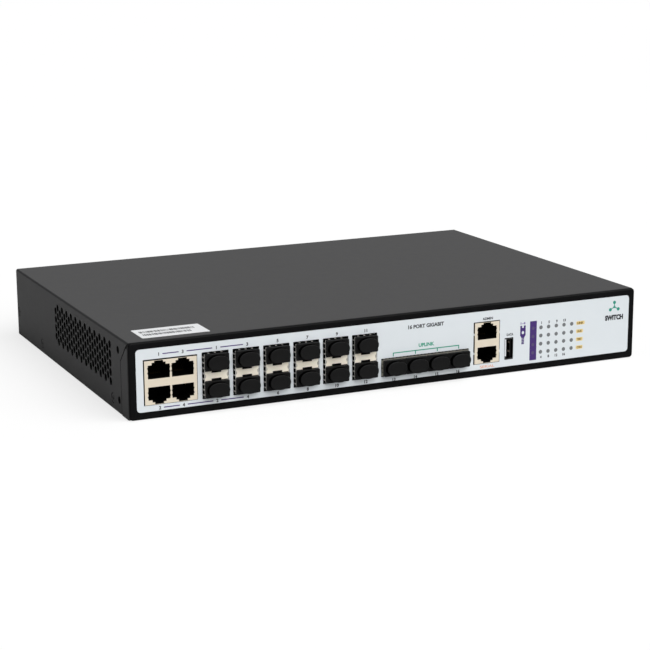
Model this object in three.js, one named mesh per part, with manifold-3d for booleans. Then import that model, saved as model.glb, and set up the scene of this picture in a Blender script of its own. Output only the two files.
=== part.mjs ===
// A half-width 1U rackmount network switch: a steel tray and cover, a moulded bezel with a printed
// overlay, ganged port connectors with dust plugs, boards, a power supply and two side fans.
//
// Millimetres, +Z up. Inside the casing group x runs from the left edge, y from the front face
// towards the rear and z from the underside, as on a drawing of the front panel. The group then
// shifts all of it so that the part's origin is the centre of its underside.

import * as THREE from 'three';
import { mergeVertices } from 'three/addons/utils/BufferGeometryUtils.js';
import Module from 'manifold-3d';

const wasm = await Module();
wasm.setup();

// ---------------------------------------------------------------- driving dimensions

const WIDTH = 330;
const DEPTH = 230;
const HEIGHT = 44;

const SHEET = 1;
const SEAM = 0.15; // between the cover and the tray
const TAB_SEAM = 0.35; // between the cover and the tray's front tabs
const TOUCH = 0.05; // between pieces that rest on each other
const OVERCUT = 1; // how far a cutting tool runs past the face it cuts
const CUT_CLEARANCE = 0.2; // round a part that stands in a cut-out of the tray

const BEZEL_THICK = 2.2;
const BEZEL_RADIUS = 3;
const BEZEL_EDGE = 1;
const OVERLAY = { x0: 4.1, x1: 326.1, z0: 4.2, z1: 40.15, radius: 2.2, thick: 0.25 };
const POCKET_DEPTH = 0.35;

const WALL_Y = BEZEL_THICK + TOUCH; // outer face of the tray's front wall
const WALL_TOP = HEIGHT - SHEET - SEAM;
const FLANGE_X = SHEET + SEAM; // outer face of the tray's inner side flanges
const LOW_FLANGE = 12;
const TAB_DEPTH = 13.5; // front tab that shows on the side, with a 45 degree top edge
const TAB_CORNER = 31.3;
const TAB_RELIEF = 40.5;
const COVER_FOOT = 0.3;
const BEND = 1.4;

const EAR_HOLES = { y: 18, z: [7.75, 36.75], coverRadius: 2.1, trayRadius: 1.65 };
const SCREWS = { front: [29.5, 6.3], middle: [172.2, 6.2], rear: [225.5, 16] };
const SCREW = { head: 3, headTop: 0.12, rim: 0.3, cone: 1.5, neck: 1.75, shank: 1.45, tip: 4.1 };

const VENT = { y: 32.6, z: 36.7, pitchY: 9.3, pitchZ: 5.35, radius: 2.2, columns: 12, rows: 5 };

// Port cut-outs in the front panel.
const QUAD = { x0: 8.5, x1: 40.2, z0: 7.8, z1: 33.8 };
const DUAL = { x0: 216.1, x1: 234, z0: 7.6, z1: 33.5 };
const SFP = { x0: 43.1, width: 15.8, pitch: 18.55, columns: 6, z0: 7.6, z1: 34.2 };
const SFP_PLUS = { x0: 154.3, x1: 212.7, z0: 7.4, z1: 18.4 };
const USB = { x0: 237.5, x1: 243.3, z0: 8.7, z1: 21.7 };

const JACK = { pitch: 13.97, centreZ: 20.6, width: 12.2, near: 2.5, far: 9.75 };
const JACK_STEP = { width: 7.5, far: 10.9 };
const JACK_NOTCH = { width: 4.9, far: 12.2 };
const JACK_PROUD = 0.15;
const JACK_HALF_HEIGHT = 12.55;
const JACK_HALF_WIDTH = { pair: 15.4, single: 8.4 };
const JACK_BODY_DEPTH = 24;
const JACK_OPEN_DEPTH = 14;
const SHIELD = 0.3;

const CAGE = { width: 14.3, z0: 8.4, z1: 33.4, proud: 0.9, depth: 48, wall: 0.35 };
const DIVIDER = { z0: 18.1, z1: 23.4, depth: 46, notchWidth: 5.9, notchDeep: 1, notchLong: 6 };
const PLUS_CAGE = { centreX: 183.6, z0: 7.95, z1: 17.85, pitch: 14.25, ports: 4 };
const PLUG = { width: 14.15, height: 9.5, thick: 2.1, corner: 0.8 };
const GRIP = { width: 13.3, height: 8.9, thick: 1.9, power: 2.3, points: 18 };
const PLUG_BODY = { width: 12.9, height: 8.2, depth: 12 };
const PLUG_Z = { upper: 28.75, lower: 13.15, single: 12.75 };

const BOARD = { z0: 5.9, z1: 7.5 };
const MAIN_BOARD = { x0: 6, x1: 300, y0: 4.5, y1: 140 };
const PSU_BOARD = { x0: 165, x1: 298, y0: 150, y1: 222 };
const STANDOFF_RADIUS = 2.4;
const BOARD_MARGIN = 6;

const LED = { columns: [257.2, 262.7, 268.1, 273.6, 279.1, 284.6], rows: [26, 20.9, 15.8, 10.7] };
const LED_PIPE = { radius: 1, hole: 1.2, x0: 255.4, x1: 286.6, z0: 9.2, z1: 27.8, backY: 6 };

const INLET = { x: 268, z: 24, width: 27.4, height: 19.6, flange: 2, lip: 1.8, depth: 18 };
const RPS = { x: 205, z: 24, width: 24, height: 13, depth: 16 };

const FAN = { size: 40, thick: 20, x: 306, z0: 1.6, y: [57, 105], bore: 18.8 };
const ROTOR = { hub: 9.5, tip: 17.8, blades: 7, x0: 1.6, long: 13, pitchDegrees: 38 };
const STATOR = { radius: 9, thick: 3, shaft: 1.2, clearance: 0.15 };

const SILICON = { x: 168, y: 98, size: 35, height: 3 };
const TRANSFORMER = { x: 213, y: 177 };
const CAPACITOR = { radius: 10.5, long: 32, x: 242, y: 176 };
const SINK = { size: 52, base: 4, top: 33, fins: 8, finThick: 1.6 };

// ---------------------------------------------------------------- materials

function finish(colour, roughness, metalness = 0) {
  return new THREE.MeshStandardMaterial({ color: colour, roughness, metalness });
}

const paint = () => finish(0x545456, 0.6, 0.2);
const blackPlastic = () => finish(0x18181a, 0.45);
const matteRubber = () => finish(0x2a2a2c, 0.8);
const creamPlastic = () => finish(0xe6d8c0, 0.5);
const bareMetal = () => finish(0xb8bab8, 0.35, 0.9);
const labelFilm = () => finish(0xe2e7ea, 0.4);
const boardGreen = () => finish(0x1f4a35, 0.5);
const clearPlastic = () => finish(0xdfe6ea, 0.2);

// ---------------------------------------------------------------- solids

function toSolid(geometry) {
  const bare = geometry.index ? geometry.toNonIndexed() : geometry.clone();
  bare.deleteAttribute('normal');
  bare.deleteAttribute('uv');
  const merged = mergeVertices(bare, 1e-4);
  const vertProperties = new Float32Array(merged.attributes.position.array);
  const triVerts = new Uint32Array(merged.index.array);
  return new wasm.Manifold(new wasm.Mesh({ numProp: 3, vertProperties, triVerts }));
}

function toGeometry(solid) {
  const mesh = solid.getMesh();
  const geometry = new THREE.BufferGeometry();
  geometry.setAttribute('position', new THREE.BufferAttribute(mesh.vertProperties, 3));
  geometry.setIndex(new THREE.BufferAttribute(mesh.triVerts, 1));
  geometry.computeVertexNormals();
  return geometry;
}

function block(x0, x1, y0, y1, z0, z1) {
  const geometry = new THREE.BoxGeometry(x1 - x0, y1 - y0, z1 - z0);
  geometry.translate((x0 + x1) / 2, (y0 + y1) / 2, (z0 + z1) / 2);
  return toSolid(geometry);
}

function extrude(shape, depth, curveSegments = 4) {
  return new THREE.ExtrudeGeometry(shape, { depth, bevelEnabled: false, curveSegments });
}

const AXIS_X = new THREE.Vector3(1, 0, 0);
const AXIS_Y = new THREE.Vector3(0, 1, 0);
const AXIS_Z = new THREE.Vector3(0, 0, 1);

// An outline drawn in x and z, extruded from y1 forward to y0.
function frontPlate(shape, y0, y1, curveSegments) {
  const turn = new THREE.Matrix4().makeBasis(AXIS_X, AXIS_Z, AXIS_Y.clone().negate());
  const geometry = extrude(shape, y1 - y0, curveSegments).applyMatrix4(turn);
  geometry.translate(0, y1, 0);
  return toSolid(geometry);
}

// An outline drawn in y and z, extruded from x0 to x1.
function sidePlate(shape, x0, x1, curveSegments) {
  const turn = new THREE.Matrix4().makeBasis(AXIS_Y, AXIS_Z, AXIS_X);
  const geometry = extrude(shape, x1 - x0, curveSegments).applyMatrix4(turn);
  geometry.translate(x0, 0, 0);
  return toSolid(geometry);
}

function polygon(points) {
  return new THREE.Shape(points.map(([u, v]) => new THREE.Vector2(u, v)));
}

function roundedRect(x0, x1, z0, z1, radius) {
  const shape = new THREE.Shape();
  shape.moveTo(x0 + radius, z0);
  shape.absarc(x1 - radius, z0 + radius, radius, -Math.PI / 2, 0, false);
  shape.absarc(x1 - radius, z1 - radius, radius, 0, Math.PI / 2, false);
  shape.absarc(x0 + radius, z1 - radius, radius, Math.PI / 2, Math.PI, false);
  shape.absarc(x0 + radius, z0 + radius, radius, Math.PI, 1.5 * Math.PI, false);
  return shape;
}

// A cylinder along x, from x0 to x1.
function sideRod(radius, x0, x1, y, z, sides = 12) {
  const geometry = new THREE.CylinderGeometry(radius, radius, x1 - x0, sides);
  geometry.rotateZ(Math.PI / 2);
  geometry.translate((x0 + x1) / 2, y, z);
  return toSolid(geometry);
}

// A cylinder along y, from y0 to y1.
function frontRod(radius, y0, y1, x, z, sides = 12) {
  const geometry = new THREE.CylinderGeometry(radius, radius, y1 - y0, sides);
  geometry.translate(x, (y0 + y1) / 2, z);
  return toSolid(geometry);
}

function upright(radius, z0, z1, x, y, sides = 12) {
  const geometry = new THREE.CylinderGeometry(radius, radius, z1 - z0, sides);
  geometry.rotateX(Math.PI / 2);
  geometry.translate(x, y, (z0 + z1) / 2);
  return toSolid(geometry);
}

// ---------------------------------------------------------------- shared cut-outs

function cutOut(rect, y0, y1) {
  return block(rect.x0, rect.x1, y0, y1, rect.z0, rect.z1);
}

function sfpRect(column) {
  const x0 = SFP.x0 + column * SFP.pitch;
  return { x0, x1: x0 + SFP.width, z0: SFP.z0, z1: SFP.z1 };
}

function sfpCentre(column) {
  return SFP.x0 + column * SFP.pitch + SFP.width / 2;
}

function cutPorts(solid, y0, y1) {
  let result = solid;
  const rects = [QUAD, DUAL, SFP_PLUS, USB];
  for (let column = 0; column < SFP.columns; column += 1) {
    rects.push(sfpRect(column));
  }
  for (const rect of rects) {
    result = result.subtract(cutOut(rect, y0, y1));
  }
  return result;
}

// The profile of a side screw, or of its countersunk hole, from the outside surface inwards.
function screwProfile() {
  return [
    [0, SCREW.headTop],
    [SCREW.head, SCREW.headTop],
    [SCREW.head, SCREW.rim],
    [SCREW.neck, SCREW.cone],
    [SCREW.shank, SCREW.cone],
    [SCREW.shank, SCREW.tip],
    [0, SCREW.tip],
  ];
}

function screwHoleProfile() {
  const mouth = SCREW.head + 0.3;
  const throat = SCREW.shank + 0.15;
  return [
    [0, -OVERCUT],
    [mouth, -OVERCUT],
    [mouth, SCREW.rim],
    [throat, SCREW.rim + mouth - throat],
    [throat, SCREW.tip],
    [0, SCREW.tip],
  ];
}

// Turns a profile about an axis along x that points into the casing from its left or right side.
function turned(profile, side) {
  const points = profile.map(([radius, along]) => new THREE.Vector2(radius, along));
  const geometry = new THREE.LatheGeometry(points, 12);
  geometry.rotateZ(side === 'left' ? -Math.PI / 2 : Math.PI / 2);
  return geometry;
}

function cutScrewHoles(solid) {
  let result = solid;
  for (const side of ['left', 'right']) {
    for (const [y, z] of Object.values(SCREWS)) {
      const tool = turned(screwHoleProfile(), side);
      tool.translate(side === 'left' ? 0 : WIDTH, y, z);
      result = result.subtract(toSolid(tool));
    }
  }
  return result;
}

function cutEarHoles(solid, radius) {
  let result = solid;
  for (const z of EAR_HOLES.z) {
    result = result.subtract(sideRod(radius, -OVERCUT, WIDTH + OVERCUT, EAR_HOLES.y, z));
  }
  return result;
}

// ---------------------------------------------------------------- casing

function trayFlange(x0) {
  const rear = DEPTH - SHEET / 2;
  const outline = polygon([
    [WALL_Y, 0],
    [rear, 0],
    [rear, 40],
    [219, 40],
    [219, LOW_FLANGE],
    [26, LOW_FLANGE],
    [26, 39],
    [WALL_Y, 39],
  ]);
  return sidePlate(outline, x0, x0 + SHEET);
}

function trayTab(x0) {
  const outline = polygon([
    [WALL_Y, 0],
    [TAB_DEPTH, 0],
    [TAB_DEPTH, TAB_CORNER],
    [TAB_DEPTH + TAB_CORNER - TAB_RELIEF, TAB_RELIEF],
    [WALL_Y, TAB_RELIEF],
  ]);
  return sidePlate(outline, x0, x0 + SHEET);
}

function standoffs(board) {
  const places = [];
  for (const x of [board.x0 + BOARD_MARGIN, board.x1 - BOARD_MARGIN]) {
    for (const y of [board.y0 + 50, board.y1 - BOARD_MARGIN]) {
      places.push(upright(STANDOFF_RADIUS, SHEET / 2, BOARD.z0 - TOUCH, x, y, 8));
    }
  }
  return places;
}

function chassisTray() {
  const right = WIDTH - FLANGE_X;
  let tray = block(FLANGE_X, right, WALL_Y, DEPTH, 0, SHEET);
  tray = tray.add(block(0, WIDTH, WALL_Y, TAB_DEPTH, 0, SHEET));
  tray = tray.add(block(FLANGE_X, right, WALL_Y, WALL_Y + SHEET, 0, WALL_TOP));
  tray = tray.add(block(0, WIDTH, WALL_Y, WALL_Y + SHEET, 0, TAB_RELIEF));
  tray = tray.add(block(FLANGE_X, right, DEPTH - SHEET, DEPTH, 0, WALL_TOP));
  for (const x0 of [0, WIDTH - SHEET]) {
    tray = tray.add(trayTab(x0));
  }
  for (const x0 of [FLANGE_X, right - SHEET]) {
    tray = tray.add(trayFlange(x0));
  }
  for (const post of [...standoffs(MAIN_BOARD), ...standoffs(PSU_BOARD)]) {
    tray = tray.add(post);
  }
  tray = cutPorts(tray, WALL_Y - OVERCUT, WALL_Y + SHEET + OVERCUT);
  const room = CUT_CLEARANCE;
  const pipeWindow = {
    x0: LED_PIPE.x0 - room,
    x1: LED_PIPE.x1 + room,
    z0: LED_PIPE.z0 - room,
    z1: LED_PIPE.z1 + room,
  };
  tray = tray.subtract(cutOut(pipeWindow, WALL_Y - OVERCUT, WALL_Y + SHEET + OVERCUT));
  for (const socket of [INLET, RPS]) {
    tray = tray.subtract(socketBlock(socket, DEPTH - SHEET - OVERCUT, DEPTH + OVERCUT, room));
  }
  return cutScrewHoles(cutEarHoles(tray, EAR_HOLES.trayRadius));
}

function coverProfile() {
  const inner = BEND - SHEET;
  const top = HEIGHT - BEND;
  const shape = new THREE.Shape();
  shape.moveTo(0, COVER_FOOT);
  shape.lineTo(0, top);
  shape.absarc(BEND, top, BEND, Math.PI, Math.PI / 2, true);
  shape.absarc(WIDTH - BEND, top, BEND, Math.PI / 2, 0, true);
  shape.lineTo(WIDTH, COVER_FOOT);
  shape.lineTo(WIDTH - SHEET, COVER_FOOT);
  shape.absarc(WIDTH - BEND, top, inner, 0, Math.PI / 2, false);
  shape.absarc(BEND, top, inner, Math.PI / 2, Math.PI, false);
  shape.lineTo(SHEET, COVER_FOOT);
  return shape;
}

function ventPlaces() {
  const places = [];
  for (let column = 0; column < 2 * VENT.columns; column += 1) {
    const short = column % 2;
    const top = VENT.z - (short * VENT.pitchZ) / 2;
    for (let row = 0; row < VENT.rows - short; row += 1) {
      places.push([VENT.y + (column * VENT.pitchY) / 2, top - row * VENT.pitchZ]);
    }
  }
  return places;
}

function topCover() {
  const frontEdge = BEZEL_THICK + TOUCH;
  let cover = frontPlate(coverProfile(), frontEdge, DEPTH, 3);
  const seamY = TAB_DEPTH + TAB_SEAM;
  const cornerZ = TAB_CORNER + TAB_SEAM / 2;
  const frontZ = cornerZ + seamY - frontEdge;
  const tabNotch = polygon([
    [frontEdge - OVERCUT, -OVERCUT],
    [seamY, -OVERCUT],
    [seamY, cornerZ],
    [frontEdge, frontZ],
    [frontEdge - OVERCUT, frontZ],
  ]);
  cover = cover.subtract(sidePlate(tabNotch, -OVERCUT, WIDTH + OVERCUT));
  for (const [y, z] of ventPlaces()) {
    cover = cover.subtract(sideRod(VENT.radius, -OVERCUT, WIDTH + OVERCUT, y, z, 6));
  }
  return cutScrewHoles(cutEarHoles(cover, EAR_HOLES.coverRadius));
}

function frontBezel() {
  const inset = BEZEL_EDGE;
  const outline = roundedRect(inset, WIDTH - inset, inset, HEIGHT - inset, BEZEL_RADIUS - inset);
  const depth = 2 * BEZEL_THICK;
  const settings = {
    depth,
    curveSegments: 4,
    bevelSize: BEZEL_EDGE,
    bevelThickness: BEZEL_EDGE,
    bevelSegments: 2,
  };
  const rounded = new THREE.ExtrudeGeometry(outline, settings);
  rounded.applyMatrix4(new THREE.Matrix4().makeBasis(AXIS_X, AXIS_Z, AXIS_Y.clone().negate()));
  rounded.translate(0, depth + BEZEL_EDGE, 0);
  let bezel = toSolid(rounded);
  const frontHalf = block(
    -OVERCUT,
    WIDTH + OVERCUT,
    -OVERCUT,
    BEZEL_THICK,
    -OVERCUT,
    HEIGHT + OVERCUT,
  );
  bezel = bezel.intersect(frontHalf);
  const pocket = roundedRect(OVERLAY.x0, OVERLAY.x1, OVERLAY.z0, OVERLAY.z1, OVERLAY.radius);
  bezel = bezel.subtract(frontPlate(pocket, -OVERCUT, POCKET_DEPTH, 3));
  for (const x of LED.columns) {
    for (const z of LED.rows) {
      bezel = bezel.subtract(frontRod(LED_PIPE.hole, -OVERCUT, BEZEL_THICK + OVERCUT, x, z, 6));
    }
  }
  return cutPorts(bezel, -OVERCUT, BEZEL_THICK + OVERCUT);
}

function frontOverlay() {
  const side = TOUCH;
  const outline = roundedRect(
    OVERLAY.x0 + side,
    OVERLAY.x1 - side,
    OVERLAY.z0 + side,
    OVERLAY.z1 - side,
    OVERLAY.radius - side,
  );
  const back = POCKET_DEPTH - TOUCH;
  return cutPorts(frontPlate(outline, back - OVERLAY.thick, back, 3), -OVERCUT, OVERCUT);
}

function serialLabel() {
  const label = { x0: 11.3, x1: 51.5, y0: 8.5, y1: 29, thick: 0.1 };
  const bottom = HEIGHT + TOUCH / 2;
  return block(label.x0, label.x1, label.y0, label.y1, bottom, bottom + label.thick);
}

// ---------------------------------------------------------------- copper ports

function jackShape(centreX, up) {
  const levels = [
    [JACK.width / 2, JACK.near],
    [JACK.width / 2, JACK.far],
    [JACK_STEP.width / 2, JACK.far],
    [JACK_STEP.width / 2, JACK_STEP.far],
    [JACK_NOTCH.width / 2, JACK_STEP.far],
    [JACK_NOTCH.width / 2, JACK_NOTCH.far],
  ];
  const right = levels.map(([x, z]) => [centreX + x, JACK.centreZ + up * z]);
  const left = levels.map(([x, z]) => [centreX - x, JACK.centreZ + up * z]);
  return polygon([...right, ...left.reverse()]);
}

function jackBody(centreX, columns) {
  const half = columns === 2 ? JACK_HALF_WIDTH.pair : JACK_HALF_WIDTH.single;
  return {
    x0: centreX - half,
    x1: centreX + half,
    z0: JACK.centreZ - JACK_HALF_HEIGHT,
    z1: JACK.centreZ + JACK_HALF_HEIGHT,
  };
}

function jackHousing(centreX, columns) {
  const body = jackBody(centreX, columns);
  let housing = block(body.x0, body.x1, -JACK_PROUD, JACK_BODY_DEPTH, body.z0, body.z1);
  const footTop = body.z0 + SHEET;
  housing = housing.add(block(body.x0 + 1, body.x1 - 1, 6, 23, BOARD.z1 + TOUCH, footTop));
  for (let column = 0; column < columns; column += 1) {
    const x = centreX + (column - (columns - 1) / 2) * JACK.pitch;
    for (const up of [1, -1]) {
      const opening = frontPlate(jackShape(x, up), -JACK_PROUD - OVERCUT, JACK_OPEN_DEPTH);
      housing = housing.subtract(opening);
    }
  }
  return housing;
}

function jackShield(centreX, columns) {
  const body = jackBody(centreX, columns);
  const gap = 0.1;
  const out = gap + SHIELD;
  const front = WALL_Y + SHEET + TOUCH;
  const rear = JACK_BODY_DEPTH + out;
  const shell = block(body.x0 - out, body.x1 + out, front, rear, BOARD.z1 + TOUCH, body.z1 + out);
  const inside = block(
    body.x0 - gap,
    body.x1 + gap,
    front - OVERCUT,
    rear - SHIELD,
    BOARD.z1 - OVERCUT,
    body.z1 + gap,
  );
  return shell.subtract(inside);
}

function usbShell() {
  const side = 0.25;
  const outer = { x0: USB.x0 + side, x1: USB.x1 - side, z0: USB.z0 + side, z1: USB.z1 - side };
  const shell = block(outer.x0, outer.x1, -0.3, 14, outer.z0, outer.z1);
  const inside = block(
    outer.x0 + SHIELD,
    outer.x1 - SHIELD,
    -OVERCUT,
    14 - SHIELD,
    outer.z0 + SHIELD,
    outer.z1 - SHIELD,
  );
  return shell.subtract(inside);
}

function usbTongue() {
  const inner = 0.25 + SHIELD + TOUCH;
  const x1 = USB.x1 - inner;
  const z0 = USB.z0 + inner;
  const z1 = USB.z1 - inner;
  const back = block(USB.x0 + inner, x1, 10, 13.6, z0, z1);
  return back.add(block(x1 - 2.2, x1 - 0.4, 1.2, 10.5, z0 + 0.4, z1 - 0.4));
}

// ---------------------------------------------------------------- fibre ports

function sfpCage() {
  const half = CAGE.width / 2;
  const outer = block(-half, half, -CAGE.proud, CAGE.depth, CAGE.z0, CAGE.z1);
  const inside = block(
    -half + CAGE.wall,
    half - CAGE.wall,
    -CAGE.proud - OVERCUT,
    CAGE.depth - CAGE.wall,
    CAGE.z0 + CAGE.wall,
    CAGE.z1 - CAGE.wall,
  );
  let cage = outer.subtract(inside);
  for (const x of [-half, half - CAGE.wall]) {
    cage = cage.add(block(x, x + CAGE.wall, 8, 46, BOARD.z1 + TOUCH, CAGE.z0 + SHEET));
  }
  return cage;
}

function sfpDivider() {
  const half = CAGE.width / 2 - CAGE.wall - TOUCH;
  const front = -CAGE.proud + TOUCH;
  let divider = block(-half, half, front, DIVIDER.depth, DIVIDER.z0, DIVIDER.z1);
  const notch = DIVIDER.notchWidth / 2;
  const end = front + DIVIDER.notchLong;
  const deep = DIVIDER.notchDeep;
  divider = divider.subtract(block(-notch, notch, -3, end, DIVIDER.z1 - deep, DIVIDER.z1 + OVERCUT));
  return divider.subtract(block(-notch, notch, -3, end, DIVIDER.z0 - OVERCUT, DIVIDER.z0 + deep));
}

function sfpPlusCage() {
  const half = (PLUS_CAGE.pitch * PLUS_CAGE.ports) / 2;
  let cage = block(-half, half, -CAGE.proud, CAGE.depth, PLUS_CAGE.z0, PLUS_CAGE.z1);
  for (let port = 0; port < PLUS_CAGE.ports; port += 1) {
    const x0 = -half + port * PLUS_CAGE.pitch + CAGE.wall;
    const x1 = x0 + PLUS_CAGE.pitch - 2 * CAGE.wall;
    const z0 = PLUS_CAGE.z0 + CAGE.wall;
    const z1 = PLUS_CAGE.z1 - CAGE.wall;
    cage = cage.subtract(block(x0, x1, -CAGE.proud - OVERCUT, CAGE.depth - CAGE.wall, z0, z1));
  }
  for (const x of [-half, half - CAGE.wall]) {
    cage = cage.add(block(x, x + CAGE.wall, 8, 46, BOARD.z1 + TOUCH, PLUS_CAGE.z0 + SHEET));
  }
  return cage;
}

function gripShape() {
  const points = [];
  const curve = (value) => Math.sign(value) * Math.abs(value) ** (2 / GRIP.power);
  for (let step = 0; step < GRIP.points; step += 1) {
    const angle = (2 * Math.PI * step) / GRIP.points;
    const x = (GRIP.width / 2) * curve(Math.cos(angle));
    const z = (GRIP.height / 2) * curve(Math.sin(angle));
    points.push([x, z]);
  }
  return polygon(points);
}

// A dust plug, centred on its port, with y = 0 on the front edge of the cage that it closes.
function dustPlug() {
  const halfW = PLUG.width / 2;
  const halfH = PLUG.height / 2;
  const back = -TOUCH;
  const front = back - PLUG.thick;
  const flange = frontPlate(roundedRect(-halfW, halfW, -halfH, halfH, PLUG.corner), front, back, 2);
  const grip = frontPlate(gripShape(), front - GRIP.thick, front + 0.2);
  const w = PLUG_BODY.width / 2;
  const h = PLUG_BODY.height / 2;
  let plug = flange.add(grip).add(block(-w, w, front + 0.2, PLUG_BODY.depth, -h, h));
  const core = 1.6;
  plug = plug.subtract(block(-w + core, w - core, 1, PLUG_BODY.depth + OVERCUT, -h + core, h - core));
  return plug;
}

function plugPlaces() {
  const places = [];
  for (let column = 0; column < SFP.columns; column += 1) {
    places.push([sfpCentre(column), PLUG_Z.upper]);
    places.push([sfpCentre(column), PLUG_Z.lower]);
  }
  for (let port = 0; port < PLUS_CAGE.ports; port += 1) {
    const x = PLUS_CAGE.centreX + (port - (PLUS_CAGE.ports - 1) / 2) * PLUS_CAGE.pitch;
    places.push([x, PLUG_Z.single]);
  }
  return places;
}

// ---------------------------------------------------------------- indicators and boards

function ledLightPipe() {
  const { x0, x1, z0, z1, backY } = LED_PIPE;
  const footFront = 4;
  let pipe = block(x0, x1, BEZEL_THICK + 0.1, backY, z0, z1);
  pipe = pipe.add(block(x0 + 1, x1 - 1, footFront, backY, BOARD.z1 + TOUCH, z0 + 1));
  for (const x of LED.columns) {
    for (const z of LED.rows) {
      pipe = pipe.add(frontRod(LED_PIPE.radius, POCKET_DEPTH + TOUCH, BEZEL_THICK + 1, x, z, 6));
    }
  }
  return pipe;
}

function circuitBoard(board) {
  return block(board.x0, board.x1, board.y0, board.y1, BOARD.z0, BOARD.z1);
}

function switchChip() {
  const half = SILICON.size / 2;
  const bottom = BOARD.z1 + TOUCH;
  const x = SILICON.x;
  const y = SILICON.y;
  const carrier = block(x - half, x + half, y - half, y + half, bottom, bottom + 1);
  const lid = half - 4;
  return carrier.add(block(x - lid, x + lid, y - lid, y + lid, bottom + 0.5, bottom + SILICON.height));
}

function chipHeatsink() {
  const half = SINK.size / 2;
  const bottom = BOARD.z1 + SILICON.height + 2 * TOUCH;
  const x0 = SILICON.x - half;
  const x1 = SILICON.x + half;
  const y0 = SILICON.y - half;
  let sink = block(x0, x1, y0, y0 + SINK.size, bottom, bottom + SINK.base);
  const pitch = (SINK.size - SINK.finThick) / (SINK.fins - 1);
  for (let fin = 0; fin < SINK.fins; fin += 1) {
    const y = y0 + fin * pitch;
    sink = sink.add(block(x0, x1, y, y + SINK.finThick, bottom + 1, SINK.top));
  }
  return sink;
}

// A ferrite core across a taller wound bobbin.
function psuTransformer() {
  const bottom = BOARD.z1 + TOUCH;
  const { x, y } = TRANSFORMER;
  const core = block(x - 13, x + 13, y - 11, y + 11, bottom + 2, 31);
  return core.add(block(x - 10, x + 10, y - 16, y + 16, bottom, 27));
}

// A capacitor can lying along x, with the rolled groove of its seal near one end.
function psuCapacitor() {
  const { radius, long } = CAPACITOR;
  const can = [
    [0, 0],
    [radius, 0],
    [radius, 3],
    [radius - 0.8, 4],
    [radius, 5],
    [radius, long - 1],
    [radius - 1, long],
    [0, long],
  ];
  const points = can.map(([r, along]) => new THREE.Vector2(r, along));
  const geometry = new THREE.LatheGeometry(points, 20);
  geometry.rotateZ(-Math.PI / 2);
  geometry.translate(CAPACITOR.x, CAPACITOR.y, BOARD.z1 + TOUCH + radius);
  return toSolid(geometry);
}

function psuHeatsink() {
  const bottom = BOARD.z1 + TOUCH;
  const foot = block(176, 188, 156, 216, bottom, bottom + 2);
  return foot.add(block(176, 178.5, 156, 216, bottom, 34));
}

// ---------------------------------------------------------------- rear sockets

function socketBlock(socket, y0, y1, grow) {
  const halfW = socket.width / 2 + grow;
  const halfH = socket.height / 2 + grow;
  return block(socket.x - halfW, socket.x + halfW, y0, y1, socket.z - halfH, socket.z + halfH);
}

// A mains inlet: a rectangular well with two clipped corners around three flat pins.
function acInlet() {
  const back = DEPTH - INLET.depth;
  const front = DEPTH + INLET.lip;
  let inlet = socketBlock(INLET, back, front, 0);
  inlet = inlet.add(socketBlock(INLET, DEPTH + TOUCH, front, INLET.flange));
  const clip = 4.5;
  const w = 12;
  const h = 7.8;
  const well = polygon([
    [INLET.x - w, INLET.z - h],
    [INLET.x + w, INLET.z - h],
    [INLET.x + w, INLET.z + h - clip],
    [INLET.x + w - clip, INLET.z + h],
    [INLET.x - w + clip, INLET.z + h],
    [INLET.x - w, INLET.z + h - clip],
  ]);
  inlet = inlet.subtract(frontPlate(well, back + 2.5, front + OVERCUT));
  for (const [dx, dz] of [[-7, -2], [0, 2], [7, -2]]) {
    const x = INLET.x + dx;
    const z = INLET.z + dz;
    inlet = inlet.add(block(x - 1, x + 1, back + 1.5, DEPTH - 1, z - 2, z + 2));
  }
  return inlet;
}

// A keyed low-voltage socket for a redundant supply: two rows of pin wells.
function rpsConnector() {
  const front = DEPTH + 0.6;
  let socket = socketBlock(RPS, DEPTH - RPS.depth, front, 0);
  const pitch = 5.4;
  for (let column = -1.5; column <= 1.5; column += 1) {
    for (const row of [-2.7, 2.7]) {
      const x = RPS.x + column * pitch;
      const z = RPS.z + row;
      socket = socket.subtract(block(x - 2, x + 2, DEPTH - 9, front + OVERCUT, z - 2, z + 2));
    }
  }
  return socket;
}

// ---------------------------------------------------------------- fans

// A fan frame centred on the fan's axis, with x = 0 on its inner face.
function fanFrame() {
  const half = FAN.size / 2;
  let frame = block(0, FAN.thick, -half, half, -half, half);
  frame = frame.subtract(sideRod(FAN.bore, -OVERCUT, FAN.thick + OVERCUT, 0, 0, 24));
  const hubX = FAN.thick - STATOR.thick;
  frame = frame.add(sideRod(STATOR.radius, hubX, FAN.thick, 0, 0, 16));
  for (let spoke = 0; spoke < 4; spoke += 1) {
    const arm = new THREE.BoxGeometry(STATOR.thick - 1, 2, FAN.bore - STATOR.radius + 2);
    arm.translate(FAN.thick - 1, 0, (FAN.bore + STATOR.radius) / 2);
    arm.rotateX(Math.PI / 4 + (spoke * Math.PI) / 2);
    frame = frame.add(toSolid(arm));
  }
  const socket = STATOR.shaft + STATOR.clearance;
  return frame.subtract(sideRod(socket, hubX - OVERCUT, FAN.thick - 1, 0, 0, 12));
}

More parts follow.
